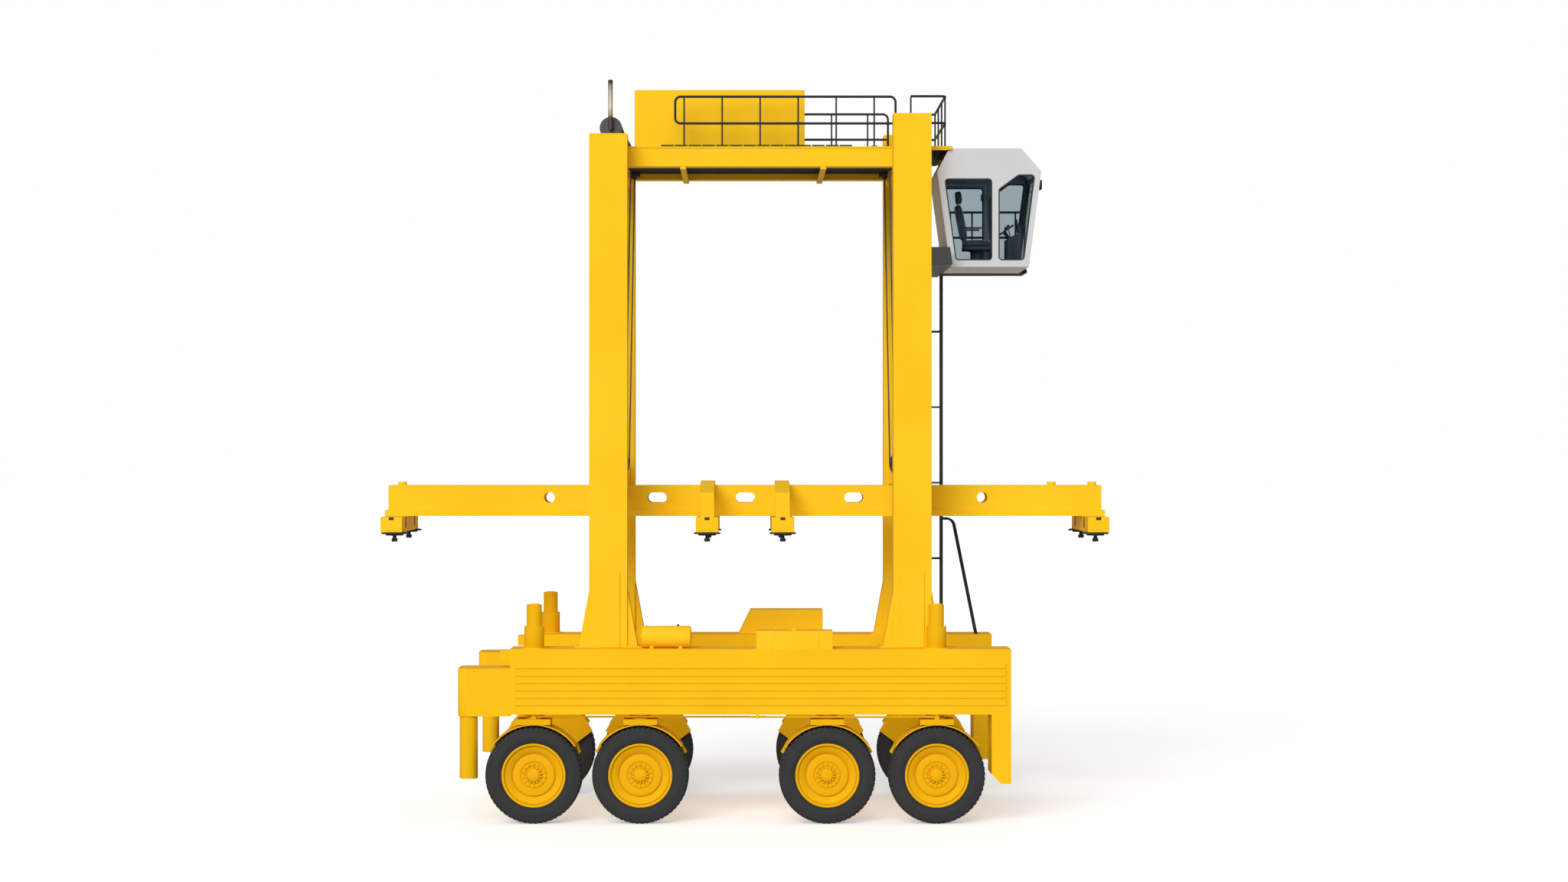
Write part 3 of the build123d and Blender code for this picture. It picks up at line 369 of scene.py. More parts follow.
# deeper yellows for the lower pieces: painted shade near the ground
SILL_SHADE_PAINT = paint("sill_shade_yellow", SILL_SHADE_YELLOW, SILL_SHADE_YELLOW_DEEP, **SATIN)
GEAR_SHADE_PAINT = paint("gear_shade_yellow", GEAR_SHADE_YELLOW, GEAR_SHADE_YELLOW_DEEP, **SATIN)
# start of a yellow node's name, its deeper paint near the ground, which is painted shade where the light
# falls off towards the ground
LOWER_SHADE_PAINTS = (
    ("sill_", SILL_SHADE_PAINT), ("tail_posts", SILL_SHADE_PAINT), ("pivot_pots", GEAR_SHADE_PAINT),
    ("knuckle_", GEAR_SHADE_PAINT), ("steering_rods_", GEAR_SHADE_PAINT),
)

for subpart in frame["record"]["subparts"]:
    node = frame["nodes"][subpart["node"]]
    node.data.materials.clear()
    finish = MATERIALS[subpart["material_slot"]]
    # lower pieces take a deeper yellow as painted shade
    for start, lower_shade_paint in LOWER_SHADE_PAINTS:
        if subpart["node"].startswith(start):
            finish = lower_shade_paint
    node.data.materials.append(finish)


# Mesh helpers
def finished(name, mesh, material, smooth_angle=None):
    """Turn a bmesh into mesh data with one material, smooth below an angle in degrees."""
    bmesh.ops.recalc_face_normals(mesh, faces=mesh.faces)
    data = bpy.data.meshes.new(name)
    mesh.to_mesh(data)
    mesh.free()
    data.materials.append(material)
    if smooth_angle:
        data.shade_smooth()
        data.set_sharp_from_angle(angle=math.radians(smooth_angle))
    return data


def put(name, data, body, place=ORIGIN, turn=0.0):
    """A piece with some mesh data, at a place, turned about the vertical, on a body if one is named."""
    made = bpy.data.objects.new(name, data)
    bpy.context.scene.collection.objects.link(made)
    made.matrix_world = Matrix.Translation(place) @ Matrix.Rotation(turn, 4, "Z")
    if body:
        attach(made, body)
    return made


def add(name, mesh, slot, smooth_angle=None, body="chassis", material=None):
    """A piece made of a bmesh, in its slot's material unless another is given."""
    return put(name, finished(name, mesh, material or MATERIALS[slot], smooth_angle), body)


def around(radius, count, offset=0.0):
    """Points spread evenly on a circle, as pairs, the first one an offset of steps from its start."""
    for index in range(count):
        angle = 2 * math.pi * (index + offset) / count
        yield radius * math.cos(angle), radius * math.sin(angle)


def arc(x, y, z, radius, start, end, steps):
    """Points of an upright arc along X about a centre, from one angle to another."""
    for step in range(steps + 1):
        angle = start + (end - start) * step / steps
        yield x + radius * math.cos(angle), y, z + radius * math.sin(angle)


def bridge(mesh, rings, closed=False):
    """Join rings of points by a skin that closes on itself, or else gets a face at each end."""
    pairs = list(zip(rings, rings[1:]))
    if closed:
        pairs.append((rings[-1], rings[0]))
    for near, far in pairs:
        for index in range(len(near)):
            following = (index + 1) % len(near)
            mesh.faces.new((near[index], near[following], far[following], far[index]))
    if not closed:
        mesh.faces.new(rings[0])
        mesh.faces.new(rings[-1])


def block(mesh, low, high, bevel=0.0, turn=None):
    """Add a box between two corners, its edges broken by a bevel, then turned by a matrix."""
    low, high = Vector(low), Vector(high)
    middle = Matrix.Translation((low + high) / 2)
    size = Matrix.Diagonal((*(high - low), 1.0))
    made = bmesh.ops.create_cube(mesh, size=1.0, matrix=middle @ size)
    corners = made["verts"]
    if bevel:
        edges = list({edge for corner in corners for edge in corner.link_edges})
        broken = bmesh.ops.bevel(
            mesh, geom=edges, offset=bevel, segments=2, profile=0.5, affect="EDGES", clamp_overlap=True,
        )
        corners = list({corner for face in broken["faces"] for corner in face.verts})
    if turn:
        bmesh.ops.transform(mesh, matrix=turn, verts=corners)


def plate(mesh, foot, half, height, bevel=0.0):
    """Add a box from the middle of its foot and half its length and width; it may hang down."""
    low, high = sorted((foot[2], foot[2] + height))
    block(
        mesh, (foot[0] - half[0], foot[1] - half[1], low),
        (foot[0] + half[0], foot[1] + half[1], high), bevel,
    )


def local(x, y, z):
    """A function that turns offsets from a place into a place."""
    return lambda along, across, up: (x + along, y + across, z + up)


def mirrored(half):
    """A whole profile from half of one, given as (radius, distance from the middle) points."""
    return [(radius, -along) for radius, along in half] + list(reversed(half))


def lathe(mesh, profile, centre, segments, axis="Y", closed=False):
    """Turn a profile of (radius, along) points about an axis through a centre."""
    rings = []
    for radius, along in profile:
        ring = []
        for across, up in around(radius, segments):
            spots = {"X": (along, across, up), "Y": (across, along, up), "Z": (across, up, along)}
            ring.append(mesh.verts.new(Vector(centre) + Vector(spots[axis])))
        rings.append(ring)
    bridge(mesh, rings, closed)


def tube(mesh, points, radius, sides=10):
    """A round bar along a line of points, with closed ends."""
    nearly_upright = 0.99
    points = [Vector(point) for point in points]
    rings = []
    for index, point in enumerate(points):
        before = points[max(index - 1, 0)]
        after = points[min(index + 1, len(points) - 1)]
        along = (after - before).normalized()
        upright = abs(along.z) > nearly_upright
        across = along.orthogonal() if upright else along.cross(Vector((0, 0, 1)))
        across.normalize()
        up = across.cross(along)
        spots = around(1.0, sides)
        rings.append([mesh.verts.new(point + radius * (across * x + up * y)) for x, y in spots])
    bridge(mesh, rings)


def grip(mesh, centre, half, out, radius):
    """A bent bar handle about the middle of its feet: half its length, and how it stands out."""
    points = []
    for end, rise in ((-1, 0), (-1, 1), (1, 1), (1, 0)):
        points.append([place + end * reach + rise * up for place, reach, up in zip(centre, half, out)])
    tube(mesh, points, radius)


def bolt(mesh, centre, axis, radius, height):
    """A six-sided bolt head that stands on a centre, along an axis name with its sign."""
    sign = -1.0 if axis[0] == "-" else 1.0
    profile = ((radius, 0.0), (radius, sign * height * 0.8), (radius * 0.8, sign * height))
    lathe(mesh, profile, centre, 6, axis[-1])


def bolt_ring(mesh, centre, reach, count, axis, radius, height):
    """Bolt heads spread on a level circle."""
    for across, beside in around(reach, count):
        bolt(mesh, (centre[0] + across, centre[1] + beside, centre[2]), axis, radius, height)


# Wheels
def stations():
    """Each wheel station's name, its side and the centre of its tyre."""
    for axle, (side_name, side) in product(AXLES, SIDES):
        station = axle + "_" + side_name
        low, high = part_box("tyre_" + station)
        yield station, side, (low + high) / 2


def tyre_data():
    """A tyre about its own centre: flat walls, rounded shoulders and rows of slanting tread bars."""
    mesh = bmesh.new()
    # radius, distance from the middle of the tread
    wall = (
        (0.531, 0.18), (0.532, 0.205), (0.545, 0.219), (0.556, 0.221), (0.562, 0.216), (0.570, 0.220),
        (0.60, 0.2275), (0.70, 0.2285), (0.706, 0.2255), (0.712, 0.2265), (0.75, 0.222),
        (0.775, 0.206), (0.786, 0.185), (0.787, 0.09),
    )
    lathe(mesh, mirrored(wall), ORIGIN, 112, closed=True)
    bar_count, bar_half_turn, bar_slant, bar_sink = 56, 0.036, 0.055, 0.018
    foot_half_turn = 1.2 * bar_half_turn
    # distance from the middle of the tread, radius of the bar's crest there
    crests = ((0.012, 0.8), (0.15, 0.8), (0.19, 0.797), (0.214, 0.778), (0.2265, 0.748))
    for row, index in product(BOTH_SIDES, range(bar_count)):
        ribs = []
        for along, crest in crests:
            middle = 2 * math.pi * index / bar_count + bar_slant * along / crests[-1][0]
            rib = []
            for radius, turn in (
                (crest - bar_sink, -foot_half_turn), (crest, -bar_half_turn),
                (crest, bar_half_turn), (crest - bar_sink, foot_half_turn),
            ):
                angle = middle + turn
                spot = (radius * math.cos(angle), row * along, radius * math.sin(angle))
                rib.append(mesh.verts.new(spot))
            ribs.append(rib)
        bridge(mesh, ribs)
    return finished("tyre_tread", mesh, MATERIALS["tyre_rubber"], 32)


def rim_data():
    """A rim about its own centre, its face to -Y: cap, bolt ring, disc, step, cone, groove and lip."""
    mesh = bmesh.new()
    # radius, place along the axle
    profile = (
        (0.012, -0.1655), (0.045, -0.164), (0.085, -0.155), (0.104, -0.142), (0.112, -0.126),
        (0.114, -0.096), (0.150, -0.096), (0.154, -0.101), (0.156, -0.112), (0.208, -0.112),
        (0.212, -0.094), (0.222, -0.094), (0.226, -0.112), (0.332, -0.112), (0.343, -0.107),
        (0.347, -0.074), (0.362, -0.074), (0.366, -0.098), (0.378, -0.108), (0.464, -0.164),
        (0.472, -0.166), (0.476, -0.146), (0.486, -0.148), (0.492, -0.197), (0.502, -0.2045),
        (0.522, -0.2045), (0.5293, -0.199), (0.5293, 0.199), (0.515, 0.2045), (0.500, 0.199),
        (0.486, 0.17), (0.478, 0.02), (0.455, -0.02), (0.22, -0.03), (0.20, -0.01),
        (0.19, 0.1995), (0.012, 0.1995),
    )
    lathe(mesh, profile, ORIGIN, 96)
    stud_count, stud_reach, stud_foot = 14, 0.184, -0.1115
    rib_low, rib_high, rib_bevel = (0.104, -0.146, -0.011), (0.138, -0.095, 0.011), 0.004
    for across, up in around(stud_reach, stud_count, offset=0.5):
        bolt(mesh, (across, stud_foot, up), "-Y", radius=0.014, height=0.022)
        block(mesh, rib_low, rib_high, rib_bevel, Matrix.Rotation(-math.atan2(up, across), 4, "Y"))
    # the rim takes the deeper gear yellow: painted shade near the ground
    return finished("rim_disc", mesh, GEAR_SHADE_PAINT, 38)


def build_wheels():
    """A detailed tyre and rim for each of the eight wheels."""
    tyre_mesh = tyre_data()
    rim_mesh = rim_data()
    for station, side, centre in stations():
        turn = 0.0 if side < 0 else math.pi
        tyre = put("tread_" + station, tyre_mesh, "wheel_" + station, centre, turn)
        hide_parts("tyre_" + station)
        rim = put("disc_" + station, rim_mesh, "wheel_" + station, centre, turn)
        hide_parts("rim_" + station)


def build_kingpins():
    """Bolted flanges where each wheel carrier turns: one under the sill, one on the carrier."""
    # radius, height from the face that the flange lies on
    upper_profile = ((0.125, 0.0), (0.2, 0.0), (0.2, -0.016), (0.19, -0.02), (0.125, -0.02))
    lower_profile = ((0.1205, 0.0), (0.162, 0.0), (0.162, 0.006), (0.158, 0.009), (0.1205, 0.009))
    bolt_count, upper_reach, lower_reach = 12, 0.165, 0.144
    upper, lower = bmesh.new(), bmesh.new()
    lathe(upper, upper_profile, ORIGIN, 48, "Z", True)
    bolt_ring(upper, (0, 0, -0.019), upper_reach, bolt_count, "-Z", radius=0.012, height=0.012)
    lathe(lower, lower_profile, ORIGIN, 48, "Z", True)
    bolt_ring(lower, (0, 0, 0.0085), lower_reach, bolt_count, "Z", radius=0.009, height=0.006)
    # deeper gear yellow: painted shade near the ground
    upper_mesh = finished("kingpin_flange", upper, GEAR_SHADE_PAINT, 35)
    lower_mesh = finished("carrier_flange", lower, GEAR_SHADE_PAINT, 35)
    carrier_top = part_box("steering_rods_a")[0].z
    for station, _, centre in stations():
        under_sill = (centre.x, centre.y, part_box("knuckle_" + station)[1].z)
        on_carrier = (centre.x, centre.y, carrier_top)
        put("kingpin_flange_" + station, upper_mesh, "chassis", under_sill)
        put("carrier_flange_" + station, lower_mesh, "knuckle_" + station, on_carrier)


# Hoist: sheaves, ropes, sockets and fairleads
def rope_line(mesh, start, end):
    """A laid wire rope between two points: six strands that wind round its line."""
    strands, points_per_strand, steps_per_lay = 6, 4, 14
    core, swell = 0.9, 0.1
    sides = strands * points_per_strand
    start, end = Vector(start), Vector(end)
    run = end - start
    steps = max(2, int(run.length / ROPE_LAY * steps_per_lay))
    along = run.normalized()
    across = along.orthogonal().normalized()
    beside = along.cross(across)
    rings = []
    for step in range(steps + 1):
        share = step / steps
        wind = 2 * math.pi * share * run.length / ROPE_LAY
        ring = []
        for side in range(sides):
            angle = 2 * math.pi * side / sides
            radius = ROPE_RADIUS * (core + swell * math.cos(strands * angle))
            spot = across * math.cos(angle + wind) + beside * math.sin(angle + wind)
            ring.append(mesh.verts.new(start + run * share + radius * spot))
        rings.append(ring)
    bridge(mesh, rings)


def build_hoist():
    """Grooved sheaves, the ropes that hang from the top frame, and what holds their ends."""
    low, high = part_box("spreader_sheaves")
    sheave_radius = (high.z - low.z) / 2
    sheave_z = (low.z + high.z) / 2
    sheave_y = high.y - SHEAVE_HALF_WIDTH
    beam_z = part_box("cross_beams")[0].z
    fall_inset = 0.586
    # place of the sheave, direction of its live fall, place of that fall under the soffit
    places = (
        (low.x + sheave_radius, 1, low.x + fall_inset),
        (high.x - sheave_radius, -1, high.x - fall_inset),
    )
    # radius, distance from the middle of the sheave
    groove = (
        (0.0408, SHEAVE_HALF_WIDTH), (0.075, SHEAVE_HALF_WIDTH), (0.085, 0.016), (0.2, 0.012),
        (0.212, 0.03), (0.245, 0.034), (0.2495, 0.03), (0.238, 0.017), (0.228, 0.009),
    )
    # radius, height from the beam's underside, and the same from the soffit
    socket = ((0.02, -0.26), (0.03, -0.25), (0.045, -0.12), (0.045, -0.06), (0.03, -0.02))
    mouth = ((0.022, -0.07), (0.05, -0.07), (0.045, -0.1), (0.03, -0.115), (0.022, -0.1))
    live_end, dead_end, blend_start = 0.05, 0.1, 0.1
    lead_bolt_x, lead_bolt_drop, wrap_steps = 0.08, 0.069, 24
    sheaves, wraps, live, dead, sockets, fairleads = (bmesh.new() for _ in range(6))
    for (x, inward, top_x), side in product(places, BOTH_SIDES):
        y = side * sheave_y
        lathe(sheaves, mirrored(groove), (x, y, sheave_z), 64, closed=True)
        wrap = arc(x, y, sheave_z, SHEAVE_PITCH_RADIUS, math.pi, 2 * math.pi, wrap_steps)
        tube(wraps, wrap, ROPE_RADIUS, 12)
        live_x = x + inward * SHEAVE_PITCH_RADIUS
        dead_x = x - inward * SHEAVE_PITCH_RADIUS
        rope_line(live, (live_x, y, sheave_z), (top_x, y, SOFFIT_Z - live_end))
        rope_line(dead, (dead_x, y, sheave_z), (dead_x, y, beam_z - dead_end))
        plate(sockets, (dead_x, y, beam_z), half=(0.08, 0.08), height=-0.025, bevel=0.004)
        lathe(sockets, socket, (dead_x, y, beam_z), 20, "Z")
        plate(fairleads, (top_x, y, SOFFIT_Z), half=(0.1, 0.075), height=-0.07, bevel=0.006)
        lathe(fairleads, mouth, (top_x, y, SOFFIT_Z), 24, "Z", True)
        for offset in (-lead_bolt_x, lead_bolt_x):
            foot = (top_x + offset, y, SOFFIT_Z - lead_bolt_drop)
            bolt(fairleads, foot, "-Z", radius=0.012, height=0.014)
    wheels = add("hoist_sheaves", sheaves, "grey_paint", 40, "spreader")
    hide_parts("spreader_sheaves")
    add("rope_wraps", wraps, "grey_paint", 60, "spreader", WIRE)
    add("rope_sockets", sockets, "grey_paint", 40)
    add("rope_fairleads", fairleads, "grey_paint", 40)
    for name, mesh, top in (("live_ropes", live, SOFFIT_Z), ("dead_ropes", dead, beam_z)):
        rope = add(name, mesh, "grey_paint", 60, None, WIRE)
        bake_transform(rope)


# Deck
def build_gratings():
    """Bar gratings laid along both edges of the deck, and foot plates under the rail posts."""
    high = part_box("deck")[1]
    grate_rear, grate_pitch, grate_length, grate_count = -1.41, 0.231, 0.21, 14
    grate_inner, grate_margin, grate_rise, cross_rise = 0.95, 0.004, 0.025, 0.0225
    bar_half, bars_across, bars_along = 0.004, 8, 3
    mesh = bmesh.new()
    for side in BOTH_SIDES:
        near, far = sorted((side * grate_inner, side * (high.y - grate_margin)))
        for index in range(grate_count):
            rear = grate_rear + index * grate_pitch
            front = rear + grate_length
            for step in range(bars_along + 1):
                y = near + (far - near) * step / bars_along
                y = min(max(y, near + bar_half), far - bar_half)
                block(mesh, (rear, y - bar_half, high.z), (front, y + bar_half, high.z + grate_rise))
            for step in range(bars_across):
                x = rear + bar_half + (grate_length - 2 * bar_half) * step / (bars_across - 1)
                block(mesh, (x - bar_half, near, high.z), (x + bar_half, far, high.z + cross_rise))
    add("deck_gratings", mesh, "grey_paint", material=GRATE_AND_SLOT_SHADE)
    feet = bmesh.new()
    post_rear, post_pitch, post_count, post_y = -1.024, 0.64, 6, 1.4
    bolt_x, bolt_y, bolt_rise = 0.035, 0.028, 0.011
    for side, index in product(BOTH_SIDES, range(post_count)):
        x, y = post_rear + index * post_pitch, side * post_y
        plate(feet, (x, y, high.z), half=(0.05, 0.045), height=0.012, bevel=0.003)
        for offset in (-bolt_x, bolt_x):
            bolt(feet, (x + offset, y + bolt_y, high.z + bolt_rise), "Z", radius=0.008, height=0.01)
    add("rail_feet", feet, "black_paint")


def build_soffit():
    """The near-black plate that closes the top frame from below, a little above the beams' lower edges: dark
    underside paint and painted shade.
    """
    low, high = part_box("deck")
    gap = 0.002
    mesh = bmesh.new()
    block(
        mesh, (low.x + gap, -SOFFIT_HALF_SPAN, SOFFIT_Z),
        (high.x - gap, SOFFIT_HALF_SPAN, SOFFIT_Z + SOFFIT_THICKNESS),
    )
    add("soffit", mesh, "deck_paint", material=UNDERSIDE_DARK_AND_SHADE)


def build_rail_ends():
    """Bent front ends of the deck rails, from the top rail down to the deck."""
    rail_radius, rail_y, rail_front, overlap = 0.02, 1.4, 2.46, 0.05
    top_z, middle_z, end_x, bend, bend_steps = 12.127, 11.677, 2.535, 0.09, 8
    foot_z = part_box("deck")[1].z
    start_x = rail_front - overlap
    mesh = bmesh.new()
    for side in BOTH_SIDES:
        y = side * rail_y
        corner = arc(end_x - bend, y, top_z - bend, bend, math.pi / 2, 0.0, bend_steps)
        tube(mesh, ((start_x, y, top_z), *corner, (end_x, y, foot_z)), rail_radius)
        tube(mesh, ((start_x, y, middle_z), (end_x, y, middle_z)), rail_radius)
    add("rail_ends", mesh, "black_paint", 50)


def build_exhaust_strut():
    """Two slanting struts that hold the exhaust drum on the deck."""
    drum_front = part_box("exhaust")[1].x
    deck_low, deck_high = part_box("deck")
    drum_z, drum_inset, strut_radius = 11.64, 0.02, 0.022
    foot_x = deck_low.x + 0.075
    mesh = bmesh.new()
    for y in (-0.9, -0.3):
        foot = (foot_x, y, deck_high.z)
        tube(mesh, ((drum_front - drum_inset, y, drum_z), foot), strut_radius)
        plate(mesh, foot, half=(0.05, 0.05), height=0.012, bevel=0.003)
    add("exhaust_strut", mesh, "grey_paint", 50)


def build_walkway_edge():
    """A folded edge along the front of the walkway, outside its rails."""
    rear, half_span, bottom = 3.4, 1.5, 11.217
    reach, thick, rib_y, rib_rise, rib_drop, bevel = 0.085, 0.008, 0.5, 0.01, 0.001, 0.002
    front = rear + reach
    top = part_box("deck")[1].z
    mesh = bmesh.new()
    block(mesh, (rear, -half_span, top - thick), (front, half_span, top), bevel)
    block(mesh, (front - thick, -half_span, bottom), (front, half_span, top), bevel)
    for y in (-half_span, -rib_y, rib_y, half_span - thick):
        block(mesh, (rear, y, bottom + rib_rise), (front, y + thick, top - rib_drop))
    add("walkway_edge", mesh, "yellow_paint")


def build_house():
    """Louvres and a service door on the house's far side, and hatches on its roof."""
    low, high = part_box("machine_house")
    middle = (low.x + high.x) / 2
    wall = high.y
    panels, dark = bmesh.new(), bmesh.new()
    # two louvred openings: their ends from the house's ends, and their margins above and below
    louvre_near, louvre_far, opening_margin, frame_margin = 0.2, 1.05, 0.2, 0.17
    slat_count, slat_half, slat_plate, slat_margin, slat_out = 9, 0.022, 0.004, 0.22, 0.012
    slat_lean = Matrix.Rotation(math.radians(-35), 4, "X")
    frame_half, frame_out, sunk = 0.02, 0.03, 0.002
    for start, end in (
        (low.x + louvre_near, low.x + louvre_far), (high.x - louvre_far, high.x - louvre_near),
    ):
        # a near-black plate in each opening stands for the shade behind the slats: painted shade
        block(
            dark, (start, wall - sunk, low.z + opening_margin), (end, wall + sunk, high.z - opening_margin),
        )
        for step in range(slat_count):
            rise = (high.z - low.z - 2 * slat_margin) * step / (slat_count - 1)
            turn = Matrix.Translation((0, wall + slat_out, low.z + slat_margin + rise)) @ slat_lean
            block(panels, (start, -slat_half, -slat_plate), (end, slat_half, slat_plate), 0.0, turn)
        bottom, top = low.z + frame_margin, high.z - frame_margin
        for x in (start, end):
            block(panels, (x - frame_half, wall, bottom), (x + frame_half, wall + frame_out, top), 0.004)
        for z in (bottom, top):
            block(
                panels, (start - frame_half, wall, z - frame_half),
                (end + frame_half, wall + frame_out, z + frame_half), 0.004,
            )
    # a plain door between them, with two hinges and a handle
    door_half, door_margin, door_out = 0.32, 0.08, 0.02
    hinge_x, hinge_y, hinge_margin, hinge_half = middle - 0.33, wall + 0.018, 0.25, 0.06
    handle_x, handle_z = middle + 0.24, (low.z + high.z) / 2
    block(
        panels, (middle - door_half, wall, low.z + door_margin),
        (middle + door_half, wall + door_out, high.z - door_margin), 0.008,
    )
    for z in (low.z + hinge_margin, high.z - hinge_margin):
        tube(panels, ((hinge_x, hinge_y, z - hinge_half), (hinge_x, hinge_y, z + hinge_half)), 0.014)
    grip(dark, (handle_x, wall + door_out, handle_z), (0, 0, 0.07), (0, 0.03, 0), 0.009)
    # roof hatches, low enough to stay out of sight from the ground
    hatch_inset, hatch_rise, hatch_grip_y = 0.7, 0.03, -0.25
    for x in (low.x + hatch_inset, middle, high.x - hatch_inset):
        plate(panels, (x, 0, high.z), half=(0.3, 0.35), height=hatch_rise, bevel=0.008)
        grip(dark, (x, hatch_grip_y, high.z + hatch_rise), (0.08, 0, 0), (0, 0, 0.03), 0.008)
    add("house_panels", panels, "yellow_paint", 35)
    add("house_grips_and_opening_shade", dark, "black_paint", 35)


# Cab
def outline_corners(corners):
    """Each corner of an outline, the directions to its two neighbours, half the angle between them."""
    count = len(corners)
    for index in range(count):
        corner = Vector(corners[index])
        before = (Vector(corners[index - 1]) - corner).normalized()
        after = (Vector(corners[(index + 1) % count]) - corner).normalized()
        yield corner, before, after, before.angle(after) / 2


def inset(corners, distance):
    """Move each side of a convex outline inward by a distance."""
    moved = []
    for corner, before, after, half_angle in outline_corners(corners):
        moved.append(corner + (before + after).normalized() * distance / math.sin(half_angle))
    return moved


def rounded(corners, radius, steps=6):
    """A convex outline with its corners rounded, as many points at each corner."""
    points = []
    centres = inset(corners, radius)
    for centre, (corner, before, after, half_angle) in zip(centres, outline_corners(corners)):
        start = corner + before * radius / math.tan(half_angle) - centre
        end = corner + after * radius / math.tan(half_angle) - centre
        sweep = start.angle_signed(end)
        for step in range(steps + 1):
            turn = Matrix.Rotation(-sweep * step / steps, 2)
            points.append(centre + turn @ start)
    return points


def gasket(mesh, corners, width, corner, near, far):
    """A closed frame round a window; near and far turn an outline point into a point in space."""
    smallest_corner = 0.004
    outer = rounded(corners, corner)
    inner = rounded(inset(corners, width), max(corner - width, smallest_corner))
    loops = []
    for loop, place in ((outer, near), (inner, near), (inner, far), (outer, far)):
        loops.append([mesh.verts.new(place(point)) for point in loop])
    bridge(mesh, loops, closed=True)


def side_window_corners():
    """Corners of the rear and front side windows, as (X, Z), counter-clockwise."""
    rear = (
        (cab_rear(WINDOW_LOW) + WINDOW_REAR_MARGIN, WINDOW_LOW), (WINDOW_MIDDLE[0], WINDOW_LOW),
        (WINDOW_MIDDLE[0], WINDOW_HIGH), (cab_rear(WINDOW_HIGH) + WINDOW_REAR_MARGIN, WINDOW_HIGH),
    )
    front = (
        (WINDOW_MIDDLE[1], WINDOW_LOW), (cab_front(WINDOW_LOW) - WINDOW_FRONT_MARGIN, WINDOW_LOW),
        (cab_front(WINDOW_FRONT_HIGH) - WINDOW_FRONT_MARGIN, WINDOW_FRONT_HIGH),
        (WINDOW_STEP[0], WINDOW_FRONT_HIGH), (WINDOW_MIDDLE[1], WINDOW_STEP[1]),
    )
    return rear, front


def build_gaskets():
    """Dark rubber frames that line the side and front windows of the cab and the window of its door."""
    rear, front = side_window_corners()
    proud, width = 0.004, 0.02
    right = (CAB_ACROSS[0] - proud, CAB_ACROSS[0] + CAB_WALL + proud)
    left = (CAB_ACROSS[1] - CAB_WALL - proud, CAB_ACROSS[1] + proud)
    fixed, moving = bmesh.new(), bmesh.new()
    for mesh, corners, span in (
        (fixed, rear, right), (fixed, front, right), (fixed, front, left), (moving, rear, left),
    ):
        faces = [lambda point, y=y: (point.x, y, point.y) for y in span]
        gasket(mesh, corners, width, WINDOW_CORNER, *faces)
    across = (CAB_ACROSS[0] + END_WINDOW_MARGIN, CAB_ACROSS[1] - END_WINDOW_MARGIN)
    corners = (
        (across[0], WINDOW_LOW), (across[1], WINDOW_LOW),
        (across[1], WINDOW_FRONT_HIGH), (across[0], WINDOW_FRONT_HIGH),
    )
    depths = (proud, -CAB_WALL - proud)
    faces = [lambda point, depth=depth: (cab_front(point.y) + depth, point.x, point.y) for depth in depths]
    gasket(fixed, corners, width, END_WINDOW_CORNER, *faces)
    add("window_gaskets", fixed, "lock_rubber", 40)
    add("door_gasket", moving, "lock_rubber", 40, "cab_door")


def pad(name, centre, size, lean, crown, channels=()):
    """A crowned cushion with rounded sides and sewn channels; its crown is on +Z before it leans back."""
    roundness, pull_in, crown_from = 5.0, 0.04, 0.3
    channel_depth, channel_width = 0.007, 0.05
    mesh = bmesh.new()
    bmesh.ops.create_cube(mesh, size=2.0)
    bmesh.ops.subdivide_edges(mesh, edges=mesh.edges, cuts=15, use_grid_fill=True)
    half = Vector(size) / 2
    for vert in mesh.verts:
        reach = sum(abs(axis) ** roundness for axis in vert.co) ** (1 / roundness)
        share = vert.co / reach
        spot = Vector((share.x * half.x, share.y * half.y, share.z * half.z))
        spot.x *= 1 - pull_in * (1 - share.y ** 2) * abs(share.x)
        if share.z > crown_from:
            spot.z += crown * (1 - share.x ** 2) * (1 - share.y ** 2)
            for channel in channels:
                spot.z -= channel_depth * math.exp(-((share.y - channel) / channel_width) ** 2)
        vert.co = spot
    turn = Matrix.Rotation(math.radians(lean), 4, "Y")
    bmesh.ops.transform(mesh, matrix=Matrix.Translation(centre) @ turn, verts=mesh.verts)
    made = add(name, mesh, "seat_fabric", 60)
    return made


